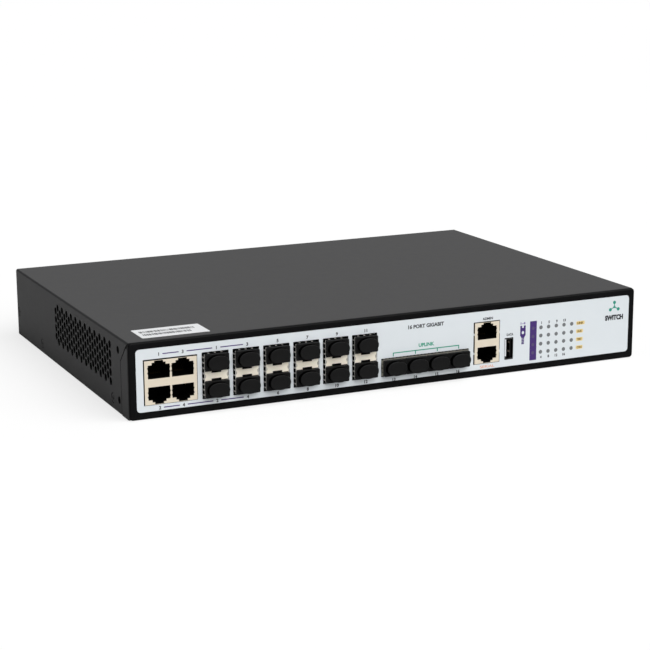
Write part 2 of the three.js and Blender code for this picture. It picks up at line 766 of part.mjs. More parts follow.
// A fan rotor: a hub with a shaft stub that runs in the stator's bush, and pitched blades.
function fanRotor() {
  const x1 = ROTOR.x0 + ROTOR.long;
  let rotor = sideRod(ROTOR.hub, ROTOR.x0, x1, 0, 0, 21);
  rotor = rotor.add(sideRod(STATOR.shaft, x1 - 1, FAN.thick - 1.4, 0, 0, 12));
  const chord = ROTOR.long - 1;
  const reach = ROTOR.tip - ROTOR.hub + 1.5;
  for (let blade = 0; blade < ROTOR.blades; blade += 1) {
    const vane = new THREE.BoxGeometry(chord, 1, reach);
    vane.rotateZ(THREE.MathUtils.degToRad(ROTOR.pitchDegrees));
    vane.translate(ROTOR.x0 + ROTOR.long / 2, 0, ROTOR.tip - reach / 2);
    vane.rotateX((2 * Math.PI * blade) / ROTOR.blades);
    rotor = rotor.add(toSolid(vane));
  }
  return rotor.intersect(sideRod(ROTOR.tip, 0, FAN.thick, 0, 0, 42));
}

// ---------------------------------------------------------------- assembly

const casing = new THREE.Group();
casing.position.set(-WIDTH / 2, -DEPTH / 2, 0);

function place(name, geometry, material, x = 0, y = 0, z = 0) {
  const mesh = new THREE.Mesh(geometry, material);
  mesh.name = name;
  mesh.position.set(x, y, z);
  casing.add(mesh);
}

function placeCasing() {
  place('chassis_tray', toGeometry(chassisTray()), paint());
  place('top_cover', toGeometry(topCover()), paint());
  place('front_bezel', toGeometry(frontBezel()), blackPlastic());
  place('front_overlay', toGeometry(frontOverlay()), labelFilm());
  place('serial_label', toGeometry(serialLabel()), labelFilm());
  for (const side of ['left', 'right']) {
    for (const [position, [y, z]] of Object.entries(SCREWS)) {
      const x = side === 'left' ? 0 : WIDTH;
      place(`screw_${side}_${position}`, turned(screwProfile(), side), paint(), x, y, z);
    }
  }
}

function placePorts() {
  const quadX = (QUAD.x0 + QUAD.x1) / 2;
  const dualX = (DUAL.x0 + DUAL.x1) / 2;
  place('rj45_quad_housing', toGeometry(jackHousing(quadX, 2)), creamPlastic());
  place('rj45_quad_shield', toGeometry(jackShield(quadX, 2)), bareMetal());
  place('rj45_dual_housing', toGeometry(jackHousing(dualX, 1)), creamPlastic());
  place('rj45_dual_shield', toGeometry(jackShield(dualX, 1)), bareMetal());
  place('usb_shell', toGeometry(usbShell()), bareMetal());
  place('usb_tongue', toGeometry(usbTongue()), blackPlastic());
  const cage = toGeometry(sfpCage());
  const divider = toGeometry(sfpDivider());
  for (let column = 0; column < SFP.columns; column += 1) {
    place(`sfp_cage_${column + 1}`, cage, bareMetal(), sfpCentre(column));
    place(`sfp_divider_${column + 1}`, divider, creamPlastic(), sfpCentre(column));
  }
  place('sfp_plus_cage', toGeometry(sfpPlusCage()), bareMetal(), PLUS_CAGE.centreX);
  const plug = toGeometry(dustPlug());
  plugPlaces().forEach(([x, z], index) => {
    place(`dust_plug_${index + 1}`, plug, matteRubber(), x, -CAGE.proud, z);
  });
}

function placeElectronics() {
  place('led_light_pipe', toGeometry(ledLightPipe()), clearPlastic());
  place('main_board', toGeometry(circuitBoard(MAIN_BOARD)), boardGreen());
  place('switch_chip', toGeometry(switchChip()), blackPlastic());
  place('chip_heatsink', toGeometry(chipHeatsink()), bareMetal());
  place('psu_board', toGeometry(circuitBoard(PSU_BOARD)), boardGreen());
  place('psu_transformer', toGeometry(psuTransformer()), blackPlastic());
  place('psu_capacitor', toGeometry(psuCapacitor()), blackPlastic());
  place('psu_heatsink', toGeometry(psuHeatsink()), bareMetal());
  place('ac_inlet', toGeometry(acInlet()), blackPlastic());
  place('rps_connector', toGeometry(rpsConnector()), blackPlastic());
}

function placeFans() {
  const frame = toGeometry(fanFrame());
  const rotor = toGeometry(fanRotor());
  const z = FAN.z0 + FAN.size / 2;
  FAN.y.forEach((y, index) => {
    place(`fan_frame_${index + 1}`, frame, blackPlastic(), FAN.x, y, z);
    place(`fan_rotor_${index + 1}`, rotor, blackPlastic(), FAN.x, y, z);
  });
}

placeCasing();
placePorts();
placeElectronics();
placeFans();

export default casing;
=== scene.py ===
import random
from math import copysign, cos, pi, radians, sin, sqrt

import bmesh
import bpy
from mathutils import Matrix, Vector


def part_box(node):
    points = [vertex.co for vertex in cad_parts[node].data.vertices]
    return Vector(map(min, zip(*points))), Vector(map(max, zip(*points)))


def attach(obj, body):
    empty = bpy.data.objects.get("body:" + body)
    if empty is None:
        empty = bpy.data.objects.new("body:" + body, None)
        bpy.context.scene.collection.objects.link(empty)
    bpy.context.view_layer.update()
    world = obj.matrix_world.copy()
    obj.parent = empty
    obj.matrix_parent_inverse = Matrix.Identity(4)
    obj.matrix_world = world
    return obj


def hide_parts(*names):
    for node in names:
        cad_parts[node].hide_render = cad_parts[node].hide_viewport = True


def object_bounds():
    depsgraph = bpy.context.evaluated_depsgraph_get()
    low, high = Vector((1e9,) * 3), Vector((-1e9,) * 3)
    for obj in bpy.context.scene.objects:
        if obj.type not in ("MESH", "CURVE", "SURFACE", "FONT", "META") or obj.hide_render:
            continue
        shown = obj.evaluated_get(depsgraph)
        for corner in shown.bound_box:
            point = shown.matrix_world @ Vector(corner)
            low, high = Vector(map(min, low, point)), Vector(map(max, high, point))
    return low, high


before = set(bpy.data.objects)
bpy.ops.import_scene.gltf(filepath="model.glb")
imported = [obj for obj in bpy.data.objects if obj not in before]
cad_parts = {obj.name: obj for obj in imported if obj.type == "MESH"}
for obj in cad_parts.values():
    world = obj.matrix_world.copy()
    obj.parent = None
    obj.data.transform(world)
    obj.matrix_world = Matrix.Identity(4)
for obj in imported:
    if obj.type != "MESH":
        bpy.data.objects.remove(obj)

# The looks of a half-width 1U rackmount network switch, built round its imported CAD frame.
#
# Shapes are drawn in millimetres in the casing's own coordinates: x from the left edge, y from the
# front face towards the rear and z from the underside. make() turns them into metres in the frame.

MM = 0.001
CAD_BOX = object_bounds()
ORIGIN = Vector((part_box("front_bezel")[0].x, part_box("front_bezel")[0].y, 0))
FRONT, SIDE, TOP = "front", "side", "top"


def span(node):
    """The node's (low, high) along x, y and z, in drawing millimetres."""
    low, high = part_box(node)
    return [((low[i] - ORIGIN[i]) / MM, (high[i] - ORIGIN[i]) / MM) for i in range(3)]


def middle(pair):
    return (pair[0] + pair[1]) / 2


def centre_of(node):
    """The middle of the node's x and z."""
    x, _, z = span(node)
    return middle(x), middle(z)


WIDTH = span("front_bezel")[0][1]
HEIGHT = span("front_bezel")[2][1]
DEPTH = span("chassis_tray")[1][1]
SHEET = 1.0

# ---- shape tools

SMALLEST_RADIUS = 0.01
WELD = 1e-4  # points closer than this become one
FLAT, SHARP = radians(0.3), radians(32)  # edges bent less are dissolved; bent more stay hard


def oriented(u, v, d, facing):
    """A drawing point from an outline's u and v and its depth d: v is up on FRONT and SIDE outlines."""
    return {FRONT: (u, d, v), SIDE: (d, u, v), TOP: (u, v, d)}[facing]


def loft(loops):
    """A closed solid skinned through loops with equal numbers of points."""
    shape = bmesh.new()
    rings = [[shape.verts.new(point) for point in loop] for loop in loops]
    count = len(rings[0])
    for ring, following in zip(rings, rings[1:]):
        for i in range(count):
            j = (i + 1) % count
            shape.faces.new((ring[i], ring[j], following[j], following[i]))
    shape.faces.new(rings[0])
    shape.faces.new(rings[-1])
    bmesh.ops.recalc_face_normals(shape, faces=shape.faces)
    return shape


def prism(outline, d0, d1, facing=FRONT):
    return loft([[oriented(u, v, d, facing) for u, v in outline] for d in (d0, d1)])


def circle(u, v, radius, steps=24):
    angles = [2 * pi * i / steps for i in range(steps)]
    return [(u + radius * cos(a), v + radius * sin(a)) for a in angles]


def round_rect(u0, u1, v0, v1, radius, steps=4):
    """A rectangle with quarter-circle corners of steps segments each."""
    radius = max(radius, SMALLEST_RADIUS)
    left, right, low, high = u0 + radius, u1 - radius, v0 + radius, v1 - radius
    points = []
    for u, v, start in ((right, low, -90), (right, high, 0), (left, high, 90), (left, low, 180)):
        for i in range(steps + 1):
            a = radians(start + 90 * i / steps)
            points.append((u + radius * cos(a), v + radius * sin(a)))
    return points


def edge_steps(d0, d1, front, back, steps):
    """(depth, inset) pairs of a slab whose end edges are rounded to the radii front and back."""

    def rounding(end, radius, inwards):
        if radius == 0:
            return [(end, 0)]
        angles = [pi / 2 * i / steps for i in range(steps + 1)]
        return [(end + inwards * radius * (1 - cos(a)), radius * (1 - sin(a))) for a in angles]

    return rounding(d0, front, 1) + rounding(d1, back, -1)[::-1]


def slab(u0, u1, v0, v1, d0, d1, radius=0.3, front=0.0, back=0.0, facing=FRONT, steps=4, rounds=3):
    """A box with rounded corners in its outline and rounded edges at its ends."""
    loops = []
    for d, inset in edge_steps(d0, d1, front, back, rounds):
        outline = round_rect(u0 + inset, u1 - inset, v0 + inset, v1 - inset, radius - inset, steps)
        loops.append([oriented(u, v, d, facing) for u, v in outline])
    return loft(loops)


def around(u, v, half_u, half_v, d0, d1, radius, *rounding, **more):
    """A slab centred on u and v."""
    return slab(u - half_u, u + half_u, v - half_v, v + half_v, d0, d1, radius, *rounding, **more)


def box(x0, x1, y0, y1, z0, z1):
    return prism([(x0, z0), (x1, z0), (x1, z1), (x0, z1)], y0, y1)


def rectangle(x0, x1, y, z0, z1):
    return [(x0, y, z0), (x1, y, z0), (x1, y, z1), (x0, y, z1)]


def turned(profile, u=0, v=0, facing=FRONT, steps=32):
    """A solid of revolution: profile is (radius, depth) pairs, all off the axis."""
    return loft([[oriented(a, b, d, facing) for a, b in circle(u, v, r, steps)] for r, d in profile])


def moved(shape, x=0.0, y=0.0, z=0.0):
    copy = shape.copy()
    bmesh.ops.translate(copy, verts=copy.verts, vec=(x, y, z))
    return copy


def spun(shape, angle, axis):
    """A copy turned about an axis through (0, 0, 0)."""
    copy = shape.copy()
    bmesh.ops.rotate(copy, verts=copy.verts, cent=(0, 0, 0), matrix=Matrix.Rotation(angle, 3, axis))
    return copy


def flipped_x(shape, about=0):
    copy = shape.copy()
    for vert in copy.verts:
        vert.co.x = 2 * about - vert.co.x
    bmesh.ops.reverse_faces(copy, faces=copy.faces)
    return copy


def mesh_of(shape, name="shape"):
    mesh = bpy.data.meshes.new(name)
    shape.to_mesh(mesh)
    return mesh


def merged(shapes):
    """Separate solids in one shape."""
    result = bmesh.new()
    for shape in shapes:
        mesh = mesh_of(shape)
        result.from_mesh(mesh)
        bpy.data.meshes.remove(mesh)
    return result


def linked(name, data):
    """A new object in the scene."""
    thing = bpy.data.objects.new(name, data)
    bpy.context.scene.collection.objects.link(thing)
    return thing


def evaluated(thing):
    """The shape of an object with its modifiers, or of a text."""
    graph = bpy.context.evaluated_depsgraph_get()
    mesh = bpy.data.meshes.new_from_object(thing.evaluated_get(graph))
    shape = bmesh.new()
    shape.from_mesh(mesh)
    bpy.data.meshes.remove(mesh)
    return shape


def boolean(shape, tool, operation):
    meshes = [mesh_of(shape), mesh_of(tool)]
    base, other = [linked("boolean", mesh) for mesh in meshes]
    modifier = base.modifiers.new("boolean", "BOOLEAN")
    modifier.solver = "MANIFOLD"
    modifier.operation = operation
    modifier.object = other
    result = evaluated(base)
    for mesh in meshes:
        bpy.data.meshes.remove(mesh)  # its object goes with it
    if not result.faces:
        raise ValueError(f"a boolean {operation} left nothing")
    return result


def cut(shape, *tools):
    return boolean(shape, merged(tools), "DIFFERENCE")


def joined(shape, *others):
    for other in others:
        shape = boolean(shape, other, "UNION")
    return shape


def finished(shape):
    """Simplifies flat areas and marks the edges that stay sharp."""
    bmesh.ops.remove_doubles(shape, verts=shape.verts, dist=WELD)
    bmesh.ops.dissolve_limit(shape, angle_limit=FLAT, verts=shape.verts, edges=shape.edges)
    for face in shape.faces:
        face.smooth = True
    for edge in shape.edges:
        edge.smooth = edge.is_manifold and edge.calc_face_angle(0) < SHARP
    return shape


def make(name, shape, skin, node=None, body="casing", at=None):
    """Makes a piece, which stands for node. With at, its shape is drawn round (0, 0, 0) and placed there."""
    mesh = mesh_of(finished(shape), name)
    mesh.transform(Matrix.Scale(MM, 4))
    mesh.materials.append(skin.material)
    if at is None:
        mesh.transform(Matrix.Translation(ORIGIN))
    piece = linked(name, mesh)
    if at is not None:
        piece.location = ORIGIN + Vector(at) * MM
    piece.modifiers.new("normals", "WEIGHTED_NORMAL").keep_sharp = True
    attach(piece, body)
    if node:
        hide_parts(node)


# ---- materials


class Wiring:
    """The node tree of a material or a world, whose shader is the node named."""

    def __init__(self, owner, shader):
        owner.use_nodes = True
        self.tree = owner.node_tree
        self.shader = self.tree.nodes[shader]

    def node(self, kind, **settings):
        made = self.tree.nodes.new("ShaderNode" + kind)
        for key, value in settings.items():
            setattr(made, key, value)
        return made

    def feed(self, socket, value):
        """Links or sets a socket, or the shader's input of that name."""
        if isinstance(socket, str):
            socket = self.shader.inputs[socket]
        if isinstance(value, bpy.types.NodeSocket):
            self.tree.links.new(value, socket)
        else:
            socket.default_value = value

    def math(self, operation, a, b=0.0):
        made = self.node("Math", operation=operation)
        self.feed(made.inputs[0], a)
        self.feed(made.inputs[1], b)
        return made.outputs[0]

    def times(self, a, b):
        return self.math("MULTIPLY", a, b)

    def vector(self, operation, value, other):
        made = self.node("VectorMath", operation=operation)
        self.feed(made.inputs[0], value)
        self.feed(made.inputs["Scale" if operation == "SCALE" else 1], other)
        return made.outputs["Value" if operation == "DOT_PRODUCT" else "Vector"]

    def ramp(self, value, low, high, out_low=0.0, out_high=1.0):
        made = self.node("MapRange")
        for socket, number in zip(made.inputs, (value, low, high, out_low, out_high)):
            self.feed(socket, number)
        return made.outputs[0]

    def axes(self, vector):
        made = self.node("SeparateXYZ")
        self.feed(made.inputs[0], vector)
        return made.outputs

    def geometry(self, output):
        return self.node("NewGeometry").outputs[output]


class Skin(Wiring):
    """A Principled material being wired up. Its textures are measured in millimetres."""

    def __init__(self, name, colour, roughness, metallic=0.0, gloss=0.5):
        self.material = bpy.data.materials.new(name)
        super().__init__(self.material, "Principled BSDF")
        self.base = colour
        self.colour = (*colour, 1)
        self.material.diffuse_color = self.colour
        self.feed("Base Color", self.colour)
        self.feed("Roughness", roughness)
        self.feed("Metallic", metallic)
        self.feed("Specular IOR Level", gloss)
        self.point = self.vector("SCALE", self.node("TexCoord").outputs["Object"], 1 / MM)

    def texture(self, kind, size, stretch, **settings):
        """A texture with features about size millimetres across, denser by the factors in stretch."""
        point = self.vector("MULTIPLY", self.point, stretch) if stretch else self.point
        made = self.node(kind, **settings)
        self.feed(made.inputs["Vector"], point)
        self.feed(made.inputs["Scale"], 1 / size)
        return made

    def noise(self, size, detail=2.0, stretch=None):
        """Noise from 0 to 1."""
        made = self.texture("TexNoise", size, stretch)
        self.feed(made.inputs["Detail"], detail)
        return made.outputs["Fac"]

    def cells(self, size, feature="F1", stretch=None):
        return self.texture("TexVoronoi", size, stretch, feature=feature).outputs["Distance"]

    def drawn(self, axis):
        """The drawing coordinate of a point of the casing, which never moves, in millimetres."""
        scaled = self.vector("SCALE", self.geometry("Position"), 1 / MM)
        return self.axes(self.vector("SUBTRACT", scaled, ORIGIN / MM))[axis]

    def from_side(self):
        """How far a point of the casing lies inside the nearer side face."""
        across = self.math("SUBTRACT", self.drawn("X"), WIDTH / 2)
        return self.math("SUBTRACT", WIDTH / 2, self.math("ABSOLUTE", across))

    def tint(self, factor, colour, share=None):
        """Mixes colour over what the material has so far."""
        mix = self.node("Mix", data_type="RGBA")
        self.feed(mix.inputs[0], self.times(factor, share) if share else factor)
        self.feed(mix.inputs[6], self.colour)
        self.feed(mix.inputs[7], (*colour, 1))
        self.colour = mix.outputs[2]
        self.feed("Base Color", self.colour)

    def vary(self, noise, share):
        """Lightens and darkens the colour by share as noise runs from low to high."""
        self.tint(self.ramp(noise, 0.5, 0.8, 0, share), tuple(min(1, c * 1.6 + 0.02) for c in self.base))
        self.tint(self.ramp(noise, 0.5, 0.2, 0, share), tuple(c * 0.45 for c in self.base))

    def roughen(self, noise, low, high):
        self.feed("Roughness", self.ramp(noise, 0.3, 0.7, low, high))

    def edge_mask(self, radius):
        """1 on edges within radius millimetres and 0 elsewhere, and the normal rounded over them."""
        soft = self.node("Bevel", samples=4)
        self.feed(soft.inputs["Radius"], radius * MM)
        agreement = self.vector("DOT_PRODUCT", soft.outputs[0], self.geometry("True Normal"))
        return self.ramp(agreement, 0.995, 0.9), soft.outputs[0]

    def relief(self, height, depth, normal=None):
        """Bumps the surface by depth millimetres where height runs from 0 to 1."""
        bump = self.node("Bump")
        self.feed(bump.inputs["Distance"], depth * MM)
        self.feed(bump.inputs["Height"], height)
        if normal:
            self.feed(bump.inputs["Normal"], normal)
        self.feed("Normal", bump.outputs[0])


def moulded(name, colour, rough=(0.4, 0.5), grain=0.25, depth=0.004, speckle=0.12, blotch=0.08, wear=0.15,
            lift=1.9, gloss=0.3):
    """Moulded plastic, rubber or paint: grain in its relief, fine and broad colour shifts, rubbed edges."""
    skin = Skin(name, colour, middle(rough), gloss=gloss)
    fine = skin.noise(grain, 4)
    broad = skin.noise(grain * 90, 3)
    skin.vary(skin.noise(grain * 0.8, 2), speckle)
    skin.vary(broad, blotch)
    edge, soft = skin.edge_mask(0.12)
    rub = skin.times(edge, skin.ramp(skin.noise(grain * 12, 3), 0.4, 0.75))
    skin.tint(skin.times(rub, wear), tuple(min(1, c * lift + 0.03) for c in colour))
    skin.roughen(skin.noise(grain * 20, 3), *rough)
    skin.relief(fine, depth, soft)
    return skin


def metal(name, colour, rough=(0.25, 0.4), run=0.06, depth=0.0015):
    """Plated or bare metal with fine rolling lines along x and faint stains."""
    skin = Skin(name, colour, middle(rough), 1.0)
    lines = skin.noise(0.35, 3, (run, 1, 1))
    skin.vary(lines, 0.12)
    skin.vary(skin.noise(9, 3), 0.15)
    skin.roughen(skin.noise(2.5, 4), *rough)
    skin.relief(lines, depth, skin.edge_mask(0.08)[1])
    return skin


def printed(name, colour):
    """Screen-printed ink: slightly uneven cover and sheen."""
    skin = Skin(name, colour, 0.45, gloss=0.3)
    skin.vary(skin.noise(0.15, 3), 0.1)
    skin.roughen(skin.noise(1.2, 2), 0.4, 0.55)
    skin.relief(skin.noise(0.12, 2), 0.002)
    return skin


# Painted shade: the black that stands for the unlit insides of holes, sockets and the closed casing.
PAINTED_SHADE_BLACK = (0.0018, 0.0018, 0.0018)


def paint(name):
    """Dark grey powder coat with a fine, even texture."""
    return moulded(name, (0.0625, 0.0625, 0.0633), (0.55, 0.57), 0.3, 0.005, 0.07, 0.0, 0.2, gloss=0.22)


def paint_unlit_shade(skin, from_side, z_range, y_range):
    """Painted shade for the unlit inside: black past from_side within a side wall, and within the ranges of z
    and y.
    """
    inside = skin.ramp(skin.from_side(), *from_side)
    level = skin.ramp(skin.drawn("Z"), *z_range)
    before_rear = skin.ramp(skin.drawn("Y"), *y_range)
    skin.tint(skin.times(inside, skin.times(level, before_rear)), PAINTED_SHADE_BLACK)
    return skin


def cover_paint():
    """The same coat, darker along the two top bends and with painted shade inside the holes of the side
    walls.
    """
    skin = paint("cover_paint")
    # The two top bends, found by their normals, are darkened into a dark line between the top and the sides.
    normal = skin.axes(skin.geometry("Normal"))
    across = skin.ramp(skin.math("ABSOLUTE", normal["X"]), 0.2, 0.45)
    bend = skin.times(across, skin.ramp(normal["Z"], 0.2, 0.45))
    skin.tint(bend, (0.012, 0.012, 0.013), 0.75)
    # Painted shade: black on the inner walls of the side holes, below the top and before the rear edge.
    return paint_unlit_shade(skin, (0.05, 0.16), (HEIGHT - 1.6, HEIGHT - 2.0), (DEPTH - 0.1, DEPTH - 0.3))


def tray_paint():
    """The same coat, with painted shade on every face that looks into the closed casing."""
    inner_rear = DEPTH - SHEET
    return paint_unlit_shade(paint("tray_paint"), (0.15, 0.3), (SHEET + 0.1, SHEET + 0.3),
                   (inner_rear + 0.1, inner_rear - 0.1))


GRIP_DEPTH = 2.8  # how far a plug's grip stands out from its flange
GRIP_LEAD = 0.9  # how far the grip stands in front of the plain plug that it replaces


def rubber():
    """Matte black rubber, with a painted highlight on the grip's upper rim and painted shade on the grip's
    side wall.
    """
    skin = moulded("plug_rubber", (0.0056, 0.0056, 0.0057), (0.46, 0.6), 0.18, 0.006, 0.25, 0.1, 0.3,
                    lift=2.2, gloss=0.1)
    skin.feed("Sheen Roughness", 0.4)
    depth = skin.axes(skin.point)["Y"]
    # Painted highlight: the upper rim of the grip's front face is lightened where it faces up.
    rim = skin.times(skin.ramp(depth, 0.03, 0.1), skin.ramp(depth, 0.34, 0.26))
    facing_up = skin.ramp(skin.axes(skin.geometry("Normal"))["Z"], 0.1, 0.6)
    skin.tint(skin.times(rim, facing_up), (0.016, 0.016, 0.0165), 0.8)
    # Painted shade: the grip's side wall is darkened almost to black, and its specular and sheen are taken
    # away.
    before_flange = skin.ramp(depth, GRIP_DEPTH - 0.02, GRIP_DEPTH - 0.1)
    wall = skin.times(skin.ramp(depth, 0.3, 0.4), before_flange)
    skin.tint(wall, (0.0004, 0.0004, 0.0004), 0.9)
    skin.feed("Specular IOR Level", skin.ramp(wall, 0, 1, 0.1, 0.0))
    skin.feed("Sheen Weight", skin.ramp(wall, 0, 1, 0.03, 0.0))
    return skin


def cream_plastic(name="cream_plastic", colour=(0.735, 0.66, 0.535)):
    """Cream plastic that lets a little light in."""
    skin = moulded(name, colour, (0.38, 0.5), 0.3, 0.004, 0.04, 0.05, 0.12)
    skin.feed("Subsurface Weight", 0.05)
    skin.feed("Subsurface Radius", (0.0012, 0.0008, 0.0005))
    return skin


# Painted shade inside sockets: how far behind the front edge it starts, and over how much depth it blends in.
SHADE_START = 0.06  # how far behind a socket's front edge its dark inside starts
SHADE_BLEND = 0.2


def paint_inside_shade(skin, node):
    """Painted shade: turns everything behind the node's front black and dulls its shine, as the unlit inside
    of a socket looks.
    """
    start = span(node)[1][0] + SHADE_START
    depth = skin.drawn("Y")

    def fading(outside, inside):
        return skin.ramp(depth, start, start + SHADE_BLEND, outside, inside)

    skin.tint(fading(0, 1), PAINTED_SHADE_BLACK)
    skin.feed("Specular IOR Level", fading(0.3, 0.02))
    if skin.shader.inputs["Metallic"].default_value:
        skin.feed("Metallic", fading(1, 0))
    return skin


def rim_tin(name, colour, node):
    """Dull tinned sheet, with painted shade on all of it behind its front edge."""
    return paint_inside_shade(moulded(name, colour, (0.4, 0.5), 0.2, 0.002, 0.1, 0.1, 0.1), node)


def board_laminate():
    """Solder mask over copper: traces show as slightly lighter, raised runs."""
    skin = moulded("board_laminate", (0.012, 0.085, 0.035), (0.25, 0.4), 0.4, 0.004, 0.1, 0.1, 0.2)
    runs = skin.cells(3.4, "DISTANCE_TO_EDGE", (1.0, 0.35, 1.0))
    skin.tint(skin.ramp(runs, 0.06, 0.045), (0.03, 0.17, 0.07), 0.6)
    skin.tint(skin.ramp(skin.cells(2.1), 0.12, 0.1), (0.6, 0.55, 0.4), 0.7)
    return skin


def winding_tape():
    """Yellow transformer tape in wrapped bands."""
    skin = moulded("winding_tape", (0.45, 0.33, 0.07), (0.25, 0.4), 0.5, 0.01, 0.1, 0.2, 0.1)
    skin.vary(skin.noise(3.2, 1, (0.2, 0.2, 1.0)), 0.4)
    return skin


# Paints and plastics: a near-black satin bezel, a cool white printed film, grey unlit windows.
SCREW_PAINT = paint("screw_paint")
COVER_PAINT = cover_paint()
TRAY_PAINT = tray_paint()
BEZEL = moulded("bezel_plastic", (0.0034, 0.0034, 0.0037), (0.36, 0.42), 0.2, 0.004, 0.2, 0.1, 0.06,
                lift=2.5, gloss=0.06)
FILM = moulded("overlay_film", (0.7, 0.742, 0.768), (0.38, 0.46), 0.15, 0.0025, 0.03, 0.03, 0.1)
RUBBER = rubber()
BLACK = moulded("black_plastic", (0.009, 0.009, 0.0095), (0.35, 0.5), 0.2, 0.005, 0.2, 0.1, 0.3, gloss=0.15)
# Painted light: a lighter copy of the cream plastic, brightened to make up for the plugs' shade on the
# dividers; painted shade blackens their notches and end recesses.
LIT_DIVIDER_CREAM = paint_inside_shade(cream_plastic("divider_cream_lit", (0.97, 0.9, 0.76)), "sfp_divider_1")
CHIP = moulded("chip_package", (0.03, 0.03, 0.032), (0.45, 0.6), 0.15, 0.004)
SLEEVE = moulded("capacitor_sleeve", (0.012, 0.025, 0.08), (0.15, 0.25), 0.6, 0.004)
FAN = moulded("fan_plastic", (0.014, 0.014, 0.015), (0.35, 0.5), 0.2, 0.006)
LABEL = moulded("label_film", (0.8, 0.81, 0.82), (0.35, 0.45), 0.2, 0.002, 0.03, 0.04, 0.0)
WINDOW = moulded("light_window", (0.165, 0.175, 0.18), (0.3, 0.4), 0.12, 0.002, 0.1, 0.1, 0.0)
PIPE = moulded("light_pipe_plastic", (0.55, 0.58, 0.6), (0.12, 0.2), 0.6, 0.002, 0.03, 0.05, 0.0)
BOARD = board_laminate()
TAPE = winding_tape()
# Metals, some of them dull enough to be made as moulded surfaces; the USB's bright gold data contacts are
# moulded with their reflection painted in.
STEEL = metal("cage_steel", (0.5, 0.495, 0.48))
# Painted shade: the USB shell is blackened behind its front.
USB_STEEL = paint_inside_shade(metal("usb_steel", (0.1, 0.1, 0.1)), "usb_shell")
# Painted shade: both cage rims are blackened behind their front edges.
PLUS_STEEL = rim_tin("plus_cage_rim_steel", (0.26, 0.25, 0.21), "sfp_plus_cage")
CAGE_STEEL = rim_tin("cage_rim_steel", (0.75, 0.73, 0.68), "sfp_cage_1")
TIN = moulded("bright_tin", (0.68, 0.71, 0.73), (0.3, 0.4), 0.15, 0.002, 0.03, 0.03, 0.1)
FINGER = metal("finger_metal", (0.58, 0.56, 0.53), (0.4, 0.55))
GASKET = metal("gasket_metal", (0.36, 0.35, 0.29), (0.4, 0.55))
# Painted reflection: a bright, non-metal copy of the contacts' gold stands in for the light that the gold
# reflects.
GLINT_GOLD = moulded("contact_gold_painted_glint", (0.6, 0.5, 0.4), (0.25, 0.35), 0.2, 0.002, 0.1, 0.1, 0.1)
DIM_GOLD = metal("contact_dim_gold", (0.05, 0.033, 0.013), (0.4, 0.5))
ALUMINIUM = metal("heatsink_metal", (0.66, 0.67, 0.68), (0.35, 0.5), 0.05, 0.004)
ZINC = metal("screw_zinc", (0.6, 0.6, 0.58), (0.25, 0.35))
INK_COLOURS = {
    "grey": (0.03, 0.033, 0.038), "dark": (0.02, 0.02, 0.025), "dim": (0.085, 0.06, 0.15),
    "purple": (0.056, 0.024, 0.155), "lilac": (0.2, 0.15, 0.36), "green": (0.015, 0.3, 0.19),
    "teal": (0.02, 0.27, 0.2), "orange": (0.8, 0.36, 0.2), "yellow": (0.78, 0.62, 0.3),
    "brown": (0.26, 0.16, 0.035),
}
INK = {name: printed("ink_" + name, colour) for name, colour in INK_COLOURS.items()}

# ---- casing

BEND = 1.4
COVER_FOOT = 0.3
TAB_DEPTH, TAB_CORNER, TAB_SEAM = 13.5, 31.3, 0.75
EAR_HOLE_Y, EAR_HOLE_RADIUS = 18, 2.2
EAR_HOLES = (7.75, 36.75)
VENT_Y, VENT_Z, VENT_PITCH_Y, VENT_PITCH_Z, VENT_RADIUS = 32.6, 36.7, 9.3, 5.35, 2.34
VENT_COLUMNS, VENT_ROWS = 12, 5
THROUGH = 5.0  # how far a drill runs past the casing


def cover_profile():
    inner = BEND - SHEET
    top = HEIGHT - BEND
    steps = 8

    def bend(cx, radius, start, end):
        angles = [radians(start + (end - start) * i / steps) for i in range(steps + 1)]
        return [(cx + radius * cos(a), top + radius * sin(a)) for a in angles]

    outline = [(0, COVER_FOOT)] + bend(BEND, BEND, 180, 90) + bend(WIDTH - BEND, BEND, 90, 0)
    outline += [(WIDTH, COVER_FOOT), (WIDTH - SHEET, COVER_FOOT)]
    outline += bend(WIDTH - BEND, inner, 0, 90) + bend(BEND, inner, 90, 180)
    return outline + [(SHEET, COVER_FOOT)]


def vent_places():
    for column in range(2 * VENT_COLUMNS):
        short = column % 2
        for row in range(VENT_ROWS - short):
            yield VENT_Y + column * VENT_PITCH_Y / 2, VENT_Z - (row + short / 2) * VENT_PITCH_Z


def side_drill(radius, y, z, steps=20):
    return prism(circle(y, z, radius, steps), -THROUGH, WIDTH + THROUGH, SIDE)


def screw_places():
    """Each cover screw's node, whether it is on the left, and its y and z."""
    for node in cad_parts:
        if node.startswith("screw_"):
            x, y, z = span(node)
            yield node, x[0] < WIDTH / 2, middle(y), middle(z)


def countersink(left, y, z):
    cone = turned([(3.05, -1), (3.05, 0.25), (1.6, 1.65), (1.6, 4.1)], y, z, SIDE)
    return cone if left else flipped_x(cone, WIDTH / 2)


def top_cover():
    y0, y1 = span("top_cover")[1]
    seam_y = TAB_DEPTH + TAB_SEAM
    corner_z = TAB_CORNER + TAB_SEAM / 2
    front_z = corner_z + seam_y - y0
    notch = [(y0 - 1, -1), (seam_y, -1), (seam_y, corner_z), (y0, front_z), (y0 - 1, front_z)]
    tools = [prism(notch, -THROUGH, WIDTH + THROUGH, SIDE)]
    tools += [side_drill(VENT_RADIUS, y, z) for y, z in vent_places()]
    tools += [side_drill(EAR_HOLE_RADIUS, EAR_HOLE_Y, z, 24) for z in EAR_HOLES]
    tools += [countersink(left, y, z) for _, left, y, z in screw_places()]
    make("cover_shell", cut(prism(cover_profile(), y0, y1), *tools), COVER_PAINT, "top_cover")


